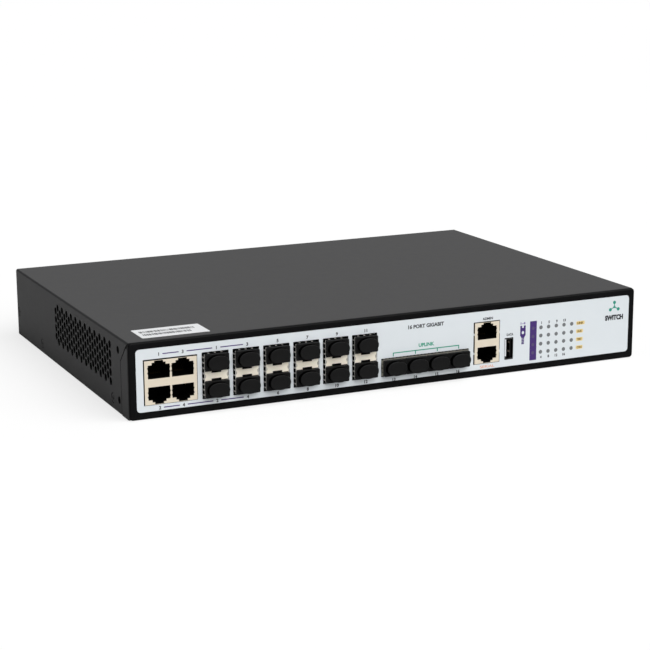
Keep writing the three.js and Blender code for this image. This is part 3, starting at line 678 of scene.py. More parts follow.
def screws():
    """Flush countersunk heads with a cross recess, painted over with the cover."""
    profile = [(2.55, 0.1), (2.65, 0.16), (2.65, 0.3), (1.45, 1.45), (1.45, 3.9), (1.2, 4.1)]
    head = turned(profile, facing=SIDE)
    upper = [(-0.5, -1.5), (0.5, -1.5), (0.4, -0.2), (0.4, 0.2)]
    arm = upper + [(0.5, 1.5), (-0.5, 1.5), (-0.4, 0.2), (-0.4, -0.2)]
    for outline in (arm, [(v, u) for u, v in arm]):
        taper = ((-0.5, 1.15), (0.12, 1.0), (1.3, 0.45))
        head = cut(head, loft([[(d, u * s, v * s) for u, v in outline] for d, s in taper]))
    for node, left, y, z in screw_places():
        body = moved(head) if left else flipped_x(head)
        make(node + "_head", body, SCREW_PAINT, node, at=(0 if left else WIDTH, y, z))


# How much larger each cut-out is than what stands in it: at its left, right, bottom and top.
PORT_GAPS = {
    "rj45_quad_housing": (0.65, 0.35, -0.2, 0.8),
    "rj45_dual_housing": (0.8, 0.45, -0.15, 0.55),
    "sfp_plus_cage": (0.8, 0.6, 0.15, 0.55),
    "usb_shell": (0.4, 0.35, 0.5, 0.5),
}
PORT_GAPS.update({f"sfp_cage_{column}": (1.1, 0.75, -0.05, 1.1) for column in range(1, 7)})
LED_COLUMNS = (257.2, 262.7, 268.1, 273.6, 279.1, 284.6)
LED_LEVELS = [26.0 - 5.1 * row for row in range(4)]
LED_PLACES = [(column, x, z) for column, x in enumerate(LED_COLUMNS) for z in LED_LEVELS]


def port_tools(y0, y1):
    """The cut-outs for the ports in the front."""
    for node, (left, right, below, above) in PORT_GAPS.items():
        (x0, x1), _, (z0, z1) = span(node)
        yield slab(x0 - left, x1 + right, z0 - below, z1 + above, y0, y1, 0.25, steps=2)


def front_bezel():
    thick = span("front_bezel")[1][1]
    bezel = slab(0, WIDTH, 0, HEIGHT, 0, thick, 2.1, front=1.0, steps=8, rounds=6)
    (x0, x1), _, (z0, z1) = span("front_overlay")
    gap = 0.05
    pocket = slab(x0 - gap, x1 + gap, z0 - gap, z1 + gap, -1, 0.35, 2.2, steps=6)
    drills = [prism(circle(x, z, 1.2), -1, thick + 1) for _, x, z in LED_PLACES]
    bezel = cut(cut(bezel, pocket), *port_tools(-1, thick + 1), *drills)
    make("bezel_frame", bezel, BEZEL, "front_bezel")


def front_overlay():
    (x0, x1), (y0, y1), (z0, z1) = span("front_overlay")
    sheet = slab(x0, x1, z0, z1, y0, y1, 2.15, front=0.06, steps=6, rounds=2)
    make("overlay_sheet", cut(sheet, *port_tools(-1, 1)), FILM, "front_overlay")


def serial_label():
    """A white label with two rows of bars, which encode nothing."""
    (x0, x1), (y0, y1), (z0, z1) = span("serial_label")
    sheet = slab(x0, x1, y0, y1, z0, z1, 0.8, facing=TOP)
    make("serial_label_sheet", sheet, LABEL, "serial_label")
    draw = random.Random(7)
    bars = []
    for row_y, right in ((22.0, 46.0), (15.4, 42.0)):
        x = 14.0
        while x < right:
            width = draw.choice((0.25, 0.25, 0.5, 0.75))
            bars.append(slab(x, x + width, row_y - 2, row_y + 2, z1, z1 + 0.02, 0.02, facing=TOP, steps=1))
            x += width + draw.choice((0.3, 0.3, 0.55))
    make("serial_label_bars", merged(bars), INK["dark"])


# ---- copper ports

JACK_PITCH, JACK_WELL, JACK_HEIGHT = 13.97, 14.0, 25.1
JACK_SHOULDER, JACK_NOTCH = 4.1, 2.6  # half widths of the two steps of a socket's keyway
JACK_LEVELS = (9.95, 11.3, 12.4)  # where those steps lie, from the line between the two rows
JACK_GROOVES = (5.1, 7.7)  # where the side grooves start, from the same line
GROOVE_SIZE = (0.3, 1.0)
WIRE_PITCH = 1.016
WIRE_PATH = [(9.0, 2.9), (9.4, 3.4), (12.5, 5.6)]  # depth behind the face, and rise


def jack_outline(x, centre_z, up, half):
    """A socket's opening: a plain well with two small grooves at each side and a stepped keyway."""
    levels = [(half, 2.1 if up > 0 else 2.5)]
    deep, tall = GROOVE_SIZE
    for v in JACK_GROOVES:
        levels += [(half, v), (half + deep, v), (half + deep, v + tall), (half, v + tall)]
    shoulder, notch, top = JACK_LEVELS
    levels += [(half, shoulder), (JACK_SHOULDER, shoulder), (JACK_SHOULDER, notch)]
    levels += [(JACK_NOTCH, notch), (JACK_NOTCH, top)]
    right = [(x + u, centre_z + up * v) for u, v in levels]
    return right + [(2 * x - u, v) for u, v in reversed(right)]


def jack_contacts(x, centre_z, up, front):
    """Eight sprung wires that rise from the floor of a jack towards its back."""
    for wire in range(8):
        wx = x + (wire - 3.5) * WIRE_PITCH
        path = [(front + depth, rise) for depth, rise in WIRE_PATH] + [(JACK_WELL - 0.3, 5.9)]
        loops = []
        for y, rise in path:
            z = centre_z + up * rise
            loops.append(rectangle(wx - 0.2, wx + 0.2, y, z - 0.15, z + 0.15))
        yield loft(loops)


def jack_block(node, columns):
    (x0, x1), (y0, y1), (_, z1) = span(node)
    z0 = z1 - JACK_HEIGHT
    half = 6.4 if columns > 1 else 6.45
    centre_z = middle((z0, z1))
    wells = []
    contacts = []
    for column in range(columns):
        x = middle((x0, x1)) + (column - (columns - 1) / 2) * JACK_PITCH
        for up in (1, -1):
            wells.append(prism(jack_outline(x, centre_z, up, half), y0 - 1, JACK_WELL))
            contacts += jack_contacts(x, centre_z, up, y0)
    block = cut(slab(x0, x1, z0, z1, y0, y1, 0.2, front=0.05, steps=3), *wells)
    # Painted shade: the housing's sockets are blackened behind its front.
    make(node + "_block", block, paint_inside_shade(cream_plastic(), node), node)
    make(node.replace("housing", "contacts"), merged(contacts), DIM_GOLD)


def shield_tabs():
    """Two small tabs of the management port's shield at each side of its housing."""
    (x0, x1), (y0, _), (_, z1) = span("rj45_dual_housing")
    centre_z = z1 - JACK_HEIGHT / 2
    tabs = []
    for z in (centre_z + 5.6, centre_z - 6.1):
        for left, right in ((x0 - 0.5, x0 - 0.03), (x1 + 0.03, x1 + 0.4)):
            tabs.append(slab(left, right, z - 0.65, z + 0.65, y0 + 0.2, y0 + 3, 0.1))
    make("rj45_dual_tabs", merged(tabs), TIN)


def usb_socket():
    (x0, x1), (y0, y1), (z0, z1) = span("usb_shell")
    wall = 0.3
    shell = slab(x0, x1, z0, z1, y0, y1, 0.6, front=0.1)
    hollow = slab(x0 + wall, x1 - wall, z0 + wall, z1 - wall, y0 - 1, y1 - wall, 0.35)
    across = (x0 - 1, x1 + 1)
    windows = [around(5, z, 2.5, 1.1, *across, 0.3, facing=SIDE) for z in (z0 + 3.4, z1 - 3.4)]
    shell = cut(cut(shell, hollow), *windows)
    lip = slab(x0 - 0.38, x0 + 0.5, z0 + 1.8, z1 - 0.3, y0 - 0.03, y0 + 0.2, 0.15, front=0.05)
    lip = cut(lip, shell)
    make("usb_shell_can", shell, USB_STEEL, "usb_shell")
    make("usb_shell_lip", lip, TIN)
    (x0, x1), (y0, y1), (z0, z1) = span("usb_tongue")
    back = slab(x0, x1, z0, z1, y1 - 3.6, y1, 0.2)
    face_x = x1 - 1.25
    tongue = slab(face_x, x1 - 0.3, z0 + 0.4, z1 - 0.4, y0, y1 - 3, 0.2, front=0.1)
    make("usb_tongue_block", joined(back, tongue), BLACK, "usb_tongue")
    strips = []
    for index, length in enumerate((2.4, 1.9, 2.4, 1.9)):
        z = middle((z0, z1)) - 0.7 + (index - 1.5) * 2.8
        face = (face_x - 0.06, face_x + 0.1)
        strips.append(slab(y0 + 0.2, y0 + length, z - 0.6, z + 0.6, *face, 0.2, facing=SIDE))
    make("usb_power_contacts", merged(strips[0::2]), DIM_GOLD)
    make("usb_data_contacts", merged(strips[1::2]), GLINT_GOLD)


# ---- fibre ports

CAGE_WALL = 0.35
CAGE_HEIGHT, PLUS_CAGE_HEIGHT = 25.0, 9.9
FINGER_THICK = 0.12
FINGER_PATH = [(-0.75, 0.02), (-0.6, 0.25), (0.0, 0.55), (0.7, 0.72), (1.5, 0.5), (2.2, 0.02)]  # y, reach
END_SETBACK = 1.5  # how much deeper the fingers above and below a cage sit than those at its sides
FOOT_START, FOOT_END = 8, 46


def spring_finger(width):
    """A strip on the outside of a cage, drawn to stand out along +x from x = 0, centred on z = 0."""
    half = width / 2
    return loft([rectangle(out - FINGER_THICK, out, y, -half, half) for y, out in FINGER_PATH])


def finger_ring(half_width, z0, z1, side_places, end_places, side_width, end_width):
    """Spring fingers round a cage centred on x = 0."""
    fingers = []
    base = spring_finger(side_width)
    for z in side_places:
        fingers.append(moved(base, half_width, 0, z))
        fingers.append(moved(flipped_x(base), -half_width, 0, z))
    upwards = spun(spring_finger(end_width), -pi / 2, "Y")
    for x in end_places:
        fingers.append(moved(upwards, x, END_SETBACK, z1))
        fingers.append(moved(spun(upwards, pi, "Y"), x, END_SETBACK, z0))
    return merged(fingers)


def open_cage(node, height, ports):
    """A cage centred on x = 0, with openings side by side and two feet; its half width, bottom and top."""
    (x0, x1), (y0, y1), (z0, z1) = span(node)
    half = (x1 - x0) / 2
    bottom = z1 - height
    pitch = 2 * half / ports
    wells = []
    for port in range(ports):
        left = -half + port * pitch + CAGE_WALL
        right = left + pitch - 2 * CAGE_WALL
        wells.append(slab(left, right, bottom + CAGE_WALL, z1 - CAGE_WALL, y0 - 1, y1 - CAGE_WALL, 0.25))
    cage = cut(slab(-half, half, bottom, z1, y0, y1, 0.4, front=0.08), *wells)
    for x in (-half, half - CAGE_WALL):
        cage = joined(cage, box(x, x + CAGE_WALL, FOOT_START, FOOT_END, z0, bottom + 1))
    return cage, half, bottom, z1


def sfp_columns():
    """Six stacked cages, their spring fingers and the cream blocks between their two ports."""
    cage, half, bottom, top = open_cage("sfp_cage_1", CAGE_HEIGHT, 1)
    sides = [middle((bottom, top)) + (index - 3.5) * 3.1 for index in range(8)]
    ring = finger_ring(half, bottom, top, sides, (-3.9, 0.0, 3.9), 0.8, 1.05)
    block = sfp_divider()
    for column in range(1, 7):
        node = f"sfp_cage_{column}"
        at = (centre_of(node)[0], 0, 0)
        make(f"sfp_cage_shell_{column}", cage.copy(), CAGE_STEEL, node, at=at)
        make(f"sfp_fingers_{column}", ring.copy(), FINGER, at=at)
        node = f"sfp_divider_{column}"
        make(f"sfp_divider_block_{column}", block.copy(), LIT_DIVIDER_CREAM, node, at=at)


def sfp_divider():
    """A cream block with a notch in its top and bottom and a shallow round recess at each end."""
    (x0, x1), (y0, y1), (z0, z1) = span("sfp_divider_1")
    half = (x1 - x0) / 2
    notches = ((z1 - 1, z1 + 1), (z0 - 1, z0 + 1.1))
    tools = [box(-2.95, 2.95, y0 - 1, y0 + 6, low, high) for low, high in notches]
    for x in (-half - 1.1, half + 1.1):
        tools.append(prism(circle(x, middle((z0, z1)), 1.65), y0 - 1, y0 + 0.18))
    return cut(slab(-half, half, z0, z1, y0, y1, 0.15, front=0.05, steps=2), *tools)


def sfp_plus_cage():
    cage, half, bottom, top = open_cage("sfp_plus_cage", PLUS_CAGE_HEIGHT, 4)
    at = (centre_of("sfp_plus_cage")[0], 0, 0)
    make("sfp_plus_cage_shell", cage, PLUS_STEEL, "sfp_plus_cage", at=at)
    sides = [middle((bottom, top)) + offset for offset in (-3.6, -1.2, 1.2, 3.6)]
    ends = [(index - 11.5) * 2.35 for index in range(24)]
    ring = finger_ring(half, bottom, top, sides, ends, 2.0, 1.5)
    make("sfp_plus_fingers", ring, GASKET, at=at)


FLANGE_THICK = 2.1
RIB_PITCH = 2.7
GRIP_HALF_WIDTH, GRIP_HALF_HEIGHT = 6.5, 4.45
GRIP_POWER = 2.12  # 2 would make the grip's outline an ellipse


def grip_outline(half_w, half_h, steps=48):
    """A superellipse."""

    def swollen(value):
        return copysign(abs(value) ** (2 / GRIP_POWER), value)

    return [(half_w * swollen(u), half_h * swollen(v)) for u, v in circle(0, 0, 1, steps)]


def dust_plug():
    """A plug centred on its port, with y = 0 on its grip's front face."""
    (x0, x1), (y0, y1), (z0, z1) = span("dust_plug_1")
    length = y1 - y0 + GRIP_LEAD
    flange_y = GRIP_DEPTH + FLANGE_THICK
    flange = around(0, 0, (x1 - x0) / 2, (z1 - z0) / 2, GRIP_DEPTH, flange_y, 0.55, 0.12, 0.05)
    loops = []
    for d, inset in edge_steps(0, GRIP_DEPTH + 0.5, 0.3, 0, 5):
        draft = 0.08 * (d - GRIP_DEPTH)
        outline = grip_outline(GRIP_HALF_WIDTH - inset + draft, GRIP_HALF_HEIGHT - inset + draft)
        loops.append([(u, d, v) for u, v in outline])
    body = around(0, 0, 6.45, 4.1, flange_y - 0.5, length, 0.9, back=0.4)
    body = cut(body, around(0, 0, 4.85, 2.5, flange_y + 1.5, length + 1, 0.7))
    core = around(0, 0, 6.0, 3.6, flange_y + 1.4, length + 1, 0.7)
    ribs = []
    for index in (1, 2, 3):
        y = flange_y + RIB_PITCH * index
        ribs.append(cut(around(0, 0, 6.62, 4.27, y, y + 0.7, 1.0, 0.25, 0.25), core))
    return joined(flange, loft(loops), body, *ribs)


def dust_plugs():
    shape = dust_plug()
    for port in range(1, 17):
        node = f"dust_plug_{port}"
        x, z = centre_of(node)
        at = (x, span(node)[1][0] - GRIP_LEAD, z)
        make(f"dust_plug_cap_{port}", shape.copy(), RUBBER, node, f"plug_{port}", at)


# ---- printing on the overlay

INK_THICK = 0.02
CAP_SHARE = 0.73  # height of a capital as a share of the font size
FILM_FACE = span("front_overlay")[1][0]
TOP_ROW_Z, BOTTOM_ROW_Z = 36.5, 5.9
SFP_PITCH = 18.55


def ink_depths(level=0):
    """The front and back of a layer of ink: level 1 lies on top of level 0."""
    front = FILM_FACE - INK_THICK * (level + 1)
    return front, front + INK_THICK


def lettering(text, x, z, height, width=None, weight=0.04):
    """Raised text on the overlay, centred on x and z, stretched to width if that is given."""
    curve = bpy.data.curves.new("text", "FONT")
    curve.body = text
    curve.size = height / CAP_SHARE
    curve.offset = weight * curve.size
    curve.align_x = "CENTER"
    curve.extrude = INK_THICK / 2
    curve.resolution_u = 4
    shape = evaluated(linked("text", curve))
    bpy.data.curves.remove(curve)  # its object goes with it
    edges = max(v.co.x for v in shape.verts), min(v.co.x for v in shape.verts)
    stretch = width / (edges[0] - edges[1]) if width else 1.0
    centre = middle(edges)
    for vert in shape.verts:
        u, v, d = vert.co
        vert.co = (x + (u - centre) * stretch, FILM_FACE - INK_THICK / 2 + d, z - height / 2 + v)
    bmesh.ops.remove_doubles(shape, verts=shape.verts, dist=WELD)
    bmesh.ops.recalc_face_normals(shape, faces=shape.faces)
    return shape


def patch(x0, x1, z0, z1, radius=0.02, steps=2):
    return slab(x0, x1, z0, z1, *ink_depths(), radius, steps=steps)


def dot(x, z, radius, level=0):
    return prism(circle(x, z, radius, 32), *ink_depths(level))


def inks(name, shapes, ink):
    make(name, merged(shapes), INK[ink])


def port_numbers():
    digits = []
    for z, offset in ((TOP_ROW_Z, 0), (BOTTOM_ROW_Z, 1)):
        places = [(column, 17.6 + 14 * column) for column in range(2)]
        places += [(column, 51.6 + SFP_PITCH * column) for column in range(6)]
        digits += [lettering(str(1 + 2 * column + offset), x, z, 1.9) for column, x in places]
    digits += [lettering(str(13 + port), 162.7 + 14.27 * port, 5.15, 1.8) for port in range(4)]
    for index, x in enumerate(LED_COLUMNS[1:5]):
        digits.append(lettering(str(1 + 4 * index), x + 0.3, 28.9, 1.6))
        digits.append(lettering(str(4 + 4 * index), x + 0.3, 7.5, 1.6))
    digits.append(lettering("16 PORT GIGABIT", 183.8, 35.5, 2.2, 23.8))
    digits.append(lettering("ADMIN", 225.4, 35.4, 1.5, 7.1))
    digits.append(lettering("DATA", 241.0, 23.9, 1.5, 4.6))
    inks("print_numbers", digits, "grey")


def combo_lines():
    """Purple lines that tie the shared copper ports to the first fibre ports."""
    lines = []
    for z in (TOP_ROW_Z, BOTTOM_ROW_Z):
        for x0, x1 in ((19.8, 29.3), (33.9, 49.2), (53.9, 67.6)):
            lines.append(patch(x0, x1, z - 0.29, z + 0.29, 0.2))
    lines.append(patch(254.9, 259.7, 6.1, 30.5))
    symbol_x = 250.0
    inks("print_purple", lines + plug_symbol(symbol_x), "purple")
    inks("print_lilac", [lettering("1-4", symbol_x, 29.9, 1.4, 3.4)], "lilac")


def plug_symbol(x):
    """A plain plug pictogram: two prongs, a body with a round window, and a banded cord."""
    body = slab(x - 1.9, x + 1.9, 22.0, 27.0, *ink_depths(), 0.4)
    body = cut(body, slab(x - 0.8, x + 0.8, 23.1, 25.1, FILM_FACE - 1, FILM_FACE + 1, 0.8))
    prongs = [patch(x + side - 0.65, x + side + 0.65, 26.9, 28.4) for side in (-1.25, 1.25)]
    shoulder = [(x - 1.6, 22.05), (x - 0.9, 20.7), (x + 0.9, 20.7), (x + 1.6, 22.05)]
    bands = [patch(x - 0.9, x + 0.9, z, z + 0.75) for z in (16.9, 17.85, 18.8, 19.75)]
    return [body, *prongs, prism(shoulder, *ink_depths()), *bands]


def uplink_bracket():
    marks = [patch(161.9, 206.1, 20.7, 21.3)]
    marks += [patch(x - 0.3, x + 0.3, 19.0, 21.0) for x in (162.2, 176.8, 191.4, 205.8)]
    marks.append(lettering("UPLINK", 184.1, 24.0, 2.1, 10.4))
    inks("print_green", marks, "green")
    inks("print_orange", [lettering("SERIAL", 225.5, 5.9, 1.6, 10.0, 0.01)], "orange")


def indicators():
    """Light windows, dim ones in the purple field, and a yellow tag with a word beside each row."""
    lit = [dot(x, z, 1.2, 1) for column, x, z in LED_PLACES if column]
    dim = [dot(x, z, 1.0, 1) for column, x, z in LED_PLACES if not column]
    make("light_windows", merged(lit), WINDOW)
    make("light_windows_dim", merged(dim), INK["dim"])
    tags = []
    words = []
    x0 = 287.9
    for z, word, width in zip(LED_LEVELS, ("LINK", "AUX", "TEST", "ON"), (6.1, 5.0, 5.0, 5.0)):
        tags.append(patch(x0, x0 + width, z - 1.15, z + 1.15, 0.6, 4))
        words.append(moved(lettering(word, x0 + width / 2, z, 1.3, width - 1.5, 0.06), y=-INK_THICK))
    inks("print_yellow", tags, "yellow")
    inks("print_brown", words, "brown")


def panel_emblem():
    """A plain network pictogram, three joined nodes, over a generic word."""
    x, z = 315.4, 34.0
    centre = Vector((x, z - 0.5))
    ends = [(x - 2.9, z - 2.0), (x + 2.9, z - 2.0), (x, z + 2.4)]
    links = []
    for end in ends:
        along = Vector((end[0] - x, end[1] - z + 0.5)).normalized()
        across = Vector((-along.y, along.x)) * 0.28
        far = Vector(end)
        outline = [centre + across, far + across, far - across, centre - across]
        links.append(prism([tuple(p) for p in outline], *ink_depths()))
    nodes = [dot(x, z - 0.5, 0.8)] + [dot(u, v, 1.05) for u, v in ends]
    inks("print_teal", [joined(*links, *nodes)], "teal")
    inks("print_word", [lettering("SWITCH", x, 27.0, 3.0, 13.2, 0.065)], "dark")


# ---- rear

INLET_CLIP = 4.5  # the cut-off upper corners of the mains well
EARTH_X, EARTH_Z = 150.0, 22.0


def ac_inlet():
    (x0, x1), (y0, y1), (z0, z1) = span("ac_inlet")
    x, z = centre_of("ac_inlet")
    flange = slab(x0, x1, z0, z1, DEPTH + 0.05, y1, 2.0, back=0.7, steps=6)
    barrel = around(x, z, 13.7, 9.8, y0, DEPTH + 1, 1.0)
    w, h = 12.0, 7.8
    upper = [(w, h - INLET_CLIP), (w - INLET_CLIP, h), (INLET_CLIP - w, h), (-w, h - INLET_CLIP)]
    corners = [(-w, -h), (w, -h)] + upper
    well = [(x + u, z + v) for u, v in corners]
    lip = [(x + u * 1.05, z + v * 1.08) for u, v in corners]
    layers = ((y0 + 2.5, well), (y1 - 0.6, well), (y1 + 0.01, lip), (y1 + 1, lip))
    hollow = loft([[(u, d, v) for u, v in outline] for d, outline in layers])
    make("ac_inlet_body", cut(joined(flange, barrel), hollow), BLACK, "ac_inlet")
    places = [(x - 7, z - 2), (x, z + 2), (x + 7, z - 2)]
    pins = [around(u, v, 1, 2, y0 + 2, DEPTH - 1, 0.3, back=0.5) for u, v in places]
    make("ac_inlet_pins", merged(pins), ZINC)


def rps_connector():
    (x0, x1), (y0, y1), (z0, z1) = span("rps_connector")
    x, z = centre_of("rps_connector")
    wells = []
    pins = []
    for column in (-1.5, -0.5, 0.5, 1.5):
        for row in (-2.7, 2.7):
            u, v = x + column * 5.4, z + row
            wells.append(around(u, v, 2, 2, DEPTH - 9, y1 + 1, 0.5))
            pins.append(around(u, v, 0.6, 0.6, DEPTH - 9.5, DEPTH - 1.5, 0.15, back=0.3))
    body = cut(slab(x0, x1, z0, z1, y0, y1, 0.8, back=0.4), *wells)
    make("rps_connector_body", body, BLACK, "rps_connector")
    make("rps_pins", merged(pins), ZINC)


def ground_screw():
    """A pan-head earth screw with a washer on the rear wall, right of the sockets as seen from behind."""

    def disc(profile):
        return turned([(radius, DEPTH + depth) for radius, depth in profile], EARTH_X, EARTH_Z)

    head = disc([(3.6, 0.82), (3.7, 1.2), (3.5, 2.2), (2.6, 2.8)])
    for half_x, half_z in ((2.0, 0.35), (0.35, 2.0)):
        x0, x1, z0, z1 = EARTH_X - half_x, EARTH_X + half_x, EARTH_Z - half_z, EARTH_Z + half_z
        head = cut(head, box(x0, x1, DEPTH + 1.6, DEPTH + 4, z0, z1))
    make("ground_screw", head, ZINC)
    make("ground_washer", disc([(4.4, 0.02), (4.5, 0.1), (4.5, 0.7), (4.4, 0.8)]), ZINC)


# ---- fans

FAN_BORE = 18.9
SCREW_OFFSET = 16
BLADES = 7
BLADE_ROOT, BLADE_TIP = 8.6, 17.7
BLADE_STEPS = 6


def fan_places():
    """Each fan's number and the middle of its frame's inner face."""
    for index in (1, 2):
        x, y, z = span(f"fan_frame_{index}")
        yield index, (x[0], middle(y), middle(z))


def fan_frames():
    """Square frames with a bore, four screw holes and a hub on four spokes at the outer side."""
    (x0, x1), (y0, y1), _ = span("fan_frame_1")
    half = (y1 - y0) / 2
    thick = x1 - x0
    offsets = (-SCREW_OFFSET, SCREW_OFFSET)
    bore = turned([(FAN_BORE, -1), (FAN_BORE, thick + 1)], facing=SIDE, steps=64)
    holes = [turned([(1.7, -1), (1.7, thick + 1)], y, z, SIDE, 20) for y in offsets for z in offsets]
    body = cut(around(0, 0, half, half, 0, thick, 2.5, 0.3, 0.3, SIDE), bore, *holes)
    spoke = slab(-1.0, 1.0, 8.5, 19.4, thick - 2, thick - 0.1, 0.2, facing=SIDE)
    for index in range(4):
        body = joined(body, spun(spoke, pi / 4 + index * pi / 2, "X"))
    hub = [(8.8, thick - 3), (9.0, thick - 2.8), (9.0, thick - 0.2), (8.8, thick)]
    body = joined(body, turned(hub, facing=SIDE, steps=48))
    body = cut(body, turned([(1.35, thick - 4), (1.35, thick - 1)], facing=SIDE, steps=24))
    for index, at in fan_places():
        node = f"fan_frame_{index}"
        make(node + "_moulding", body.copy(), FAN, node, at=at)


def fan_blade(x0, x1):
    """A curved, twisted blade from inside the hub to just short of the bore."""
    centre = (x0 + x1) / 2
    loops = []
    for step in range(BLADE_STEPS + 1):
        radius = BLADE_ROOT + (BLADE_TIP - BLADE_ROOT) * step / BLADE_STEPS
        pitch = radians(50 - 16 * step / BLADE_STEPS)
        chord = (x1 - x0 - 1.2) / cos(radians(90) - pitch) * 0.62
        front, back = [], []
        for i in range(7):
            s = -0.5 + i / 6
            camber = 1 - 4 * s * s
            thick = 0.5 * sqrt(max(0.05, 1 - 4 * s * s))
            x = s * chord * sin(pitch) - camber * cos(pitch)
            t = s * chord * cos(pitch) + camber * sin(pitch)
            front.append((x + thick * cos(pitch), t - thick * sin(pitch)))
            back.append((x - thick * cos(pitch), t + thick * sin(pitch)))
        loops.append([(centre + x, radius * sin(t / radius), radius * cos(t / radius))
                      for x, t in front + back[::-1]])
    return loft(loops)


def fan_rotors():
    rotor_x = span("fan_rotor_1")[0]
    base = span("fan_frame_1")[0][0]
    start = rotor_x[0] - base
    end = start + 13.0
    tip = rotor_x[1] - base
    hub = [(8.6, start), (9.4, start + 0.8), (9.4, end), (8.9, end + 0.2)]
    shaft = turned([(1.2, end - 1), (1.2, tip - 0.1), (1.1, tip)], facing=SIDE, steps=20)
    rotor = joined(turned(hub, facing=SIDE, steps=48), shaft)
    blade = fan_blade(start, end)
    for index in range(BLADES):
        rotor = joined(rotor, spun(blade, 2 * pi * index / BLADES, "X"))
    for index, at in fan_places():
        name, node = f"fan_rotor_moulding_{index}", f"fan_rotor_{index}"
        make(name, rotor.copy(), FAN, node, f"fan_{index}", at)


# ---- inside


def light_pipe():
    """Clear posts that carry the light of the board's diodes to the back of the overlay."""
    (x0, x1), (y0, y1), (z0, _) = span("led_light_pipe")
    carrier = slab(x0, x1, 9.2, 27.8, 2.3, y1, 0.6, steps=3)
    rib = box(x0 + 1, x1 - 1, 4, y1 - 0.2, z0, 10)
    profile = [(0.85, y0), (1.0, y0 + 0.15), (1.0, 3.0)]
    posts = merged([turned(profile, x, z, steps=20) for _, x, z in LED_PLACES])
    make("light_pipe_moulding", joined(carrier, rib, posts), PIPE, "led_light_pipe")


BOARD_PARTS = 70


def board_parts():
    """Small parts on the main board, scattered clear of the connectors and the chip's heatsink."""
    (x0, x1), (_, y1), (_, top) = span("main_board")
    (hx0, hx1), (hy0, hy1), _ = span("chip_heatsink")
    draw = random.Random(21)
    placed = []
    while len(placed) < BOARD_PARTS:
        w, d, h = draw.uniform(2, 8), draw.uniform(2, 8), draw.uniform(0.8, 3.5)
        x, y = draw.uniform(x0 + 8, x1 - 12), draw.uniform(56, y1 - 8)
        near_sink = hx0 - w < x < hx1 + w and hy0 - d < y < hy1 + d
        crowded = any(
            abs(x - px) < (w + pw) / 2 + 1 and abs(y - py) < (d + pd) / 2 + 1 for px, py, pw, pd, _ in placed
        )
        if not (near_sink or crowded):
            placed.append((x, y, w, d, h))
    shapes = [around(x, y, w / 2, d / 2, top, top + h, 0.3, 0, 0.2, TOP, 2, 2) for x, y, w, d, h in placed]
    make("board_parts", merged(shapes), CHIP)


KEPT = {
    TRAY_PAINT: ["chassis_tray"],
    STEEL: ["rj45_quad_shield", "rj45_dual_shield"],
    BOARD: ["main_board", "psu_board"],
    CHIP: ["switch_chip"],
    ALUMINIUM: ["chip_heatsink", "psu_heatsink"],
    TAPE: ["psu_transformer"],
    SLEEVE: ["psu_capacitor"],
}


def dress_kept_nodes():
    """Gives the CAD nodes that stay their materials."""
    for skin, nodes in KEPT.items():
        for node in nodes:
            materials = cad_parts[node].data.materials
            materials.clear()
            materials.append(skin.material)


# ---- stage


FLOOR_SIZE, FLOOR_GAP = 6.0, 0.0002  # metres


def sun(towards_light, strength, spread):
    """A distant soft light: spread is the angle that it fills, in degrees."""
    data = bpy.data.lights.new("key", "SUN")
    data.energy = strength
    data.angle = radians(spread)
    linked("key", data).rotation_euler = Vector(towards_light).to_track_quat("Z", "Y").to_euler()


def stage():
    scene = bpy.context.scene
    scene.view_settings.view_transform = "Standard"
    mesh = bpy.data.meshes.new("floor")
    corners = [(-1, -1), (1, -1), (1, 1), (-1, 1)]
    mesh.from_pydata([(x * FLOOR_SIZE, y * FLOOR_SIZE, 0) for x, y in corners], [], [(0, 1, 2, 3)])
    mesh.materials.append(floor_paper().material)
    floor = linked("floor", mesh)
    floor.location.z = CAD_BOX[0].z - FLOOR_GAP
    scene.world = studio()
    sun((0.35, -0.72, 0.95), 3.35, 75)


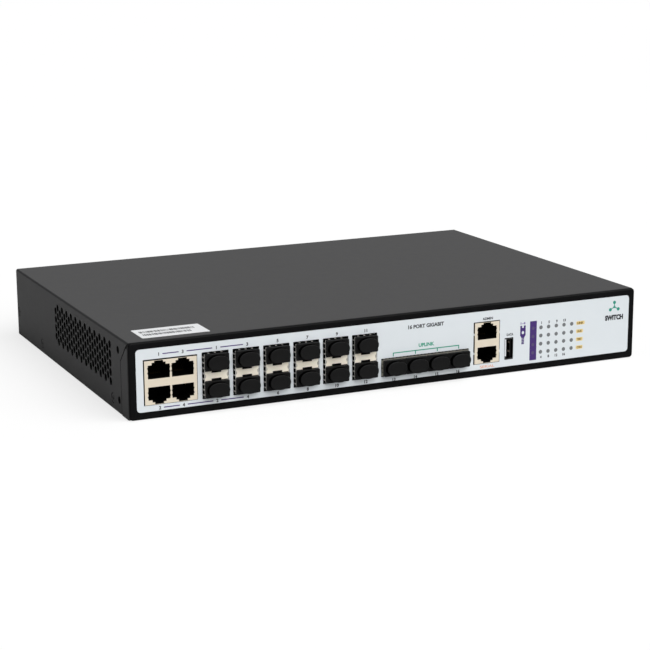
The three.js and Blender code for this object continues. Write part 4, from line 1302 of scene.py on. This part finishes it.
def floor_paper():
    """Pale paper. It looks brighter than the light that it throws back on the object, as if lit by itself."""
    skin = Skin("floor_paper", (0.5, 0.5, 0.5), 0.8, gloss=0.1)
    skin.vary(skin.noise(400, 2), 0.02)
    skin.relief(skin.noise(1.5, 2), 0.02)
    seen = skin.node("LightPath").outputs["Is Camera Ray"]
    skin.tint(seen, (0.95, 0.95, 0.95))
    blend = skin.node("MixShader")
    skin.feed(blend.inputs[0], skin.ramp(seen, 0, 1, 0, 0.7))
    skin.feed(blend.inputs[1], skin.shader.outputs[0])
    skin.feed(blend.inputs[2], skin.node("Emission").outputs[0])
    skin.feed(skin.tree.nodes["Material Output"].inputs["Surface"], blend.outputs[0])
    return skin


def studio():
    """White to look at; as a light it is dim, and dimmer from the left."""
    world = bpy.data.worlds.new("studio")
    wiring = Wiring(world, "Background")
    across = wiring.axes(wiring.node("TexCoord").outputs["Generated"])["X"]
    seen = wiring.node("LightPath").outputs["Is Camera Ray"]
    wiring.feed("Strength", wiring.ramp(seen, 0, 1, wiring.ramp(across, -1, 1, 0.16, 0.4), 1.0))
    wiring.feed("Color", (1, 1, 1, 1))
    return world


CAMERA_AZIMUTH, CAMERA_ELEVATION, CAMERA_ROLL = 24.71, 13.26, -0.31
CAMERA_DISTANCE = 1.1345
CAMERA_LENS = 97.9
CAMERA_AIM = Vector((3.6, -5.7, 14.1)) * MM


def camera():
    data = bpy.data.cameras.new("camera")
    data.lens = CAMERA_LENS
    data.sensor_width = 36
    data.clip_end = 50
    viewer = linked("camera", data)
    yaw, pitch = radians(CAMERA_AZIMUTH), radians(-CAMERA_ELEVATION)
    forward = Vector((sin(yaw) * cos(pitch), cos(yaw) * cos(pitch), sin(pitch)))
    right = Vector((cos(yaw), -sin(yaw), 0))
    roll = radians(CAMERA_ROLL)
    tilted_right = right * cos(roll) + right.cross(forward) * sin(roll)
    turn = Matrix((tilted_right, tilted_right.cross(forward), -forward)).transposed()
    viewer.matrix_world = Matrix.Translation(CAMERA_AIM - forward * CAMERA_DISTANCE) @ turn.to_4x4()
    bpy.context.scene.camera = viewer


top_cover()
screws()
front_bezel()
front_overlay()
serial_label()
jack_block("rj45_quad_housing", 2)
jack_block("rj45_dual_housing", 1)
shield_tabs()
usb_socket()
sfp_columns()
sfp_plus_cage()
dust_plugs()
port_numbers()
combo_lines()
uplink_bracket()
indicators()
panel_emblem()
ac_inlet()
rps_connector()
ground_screw()
fan_frames()
fan_rotors()
light_pipe()
board_parts()
dress_kept_nodes()
stage()
camera()
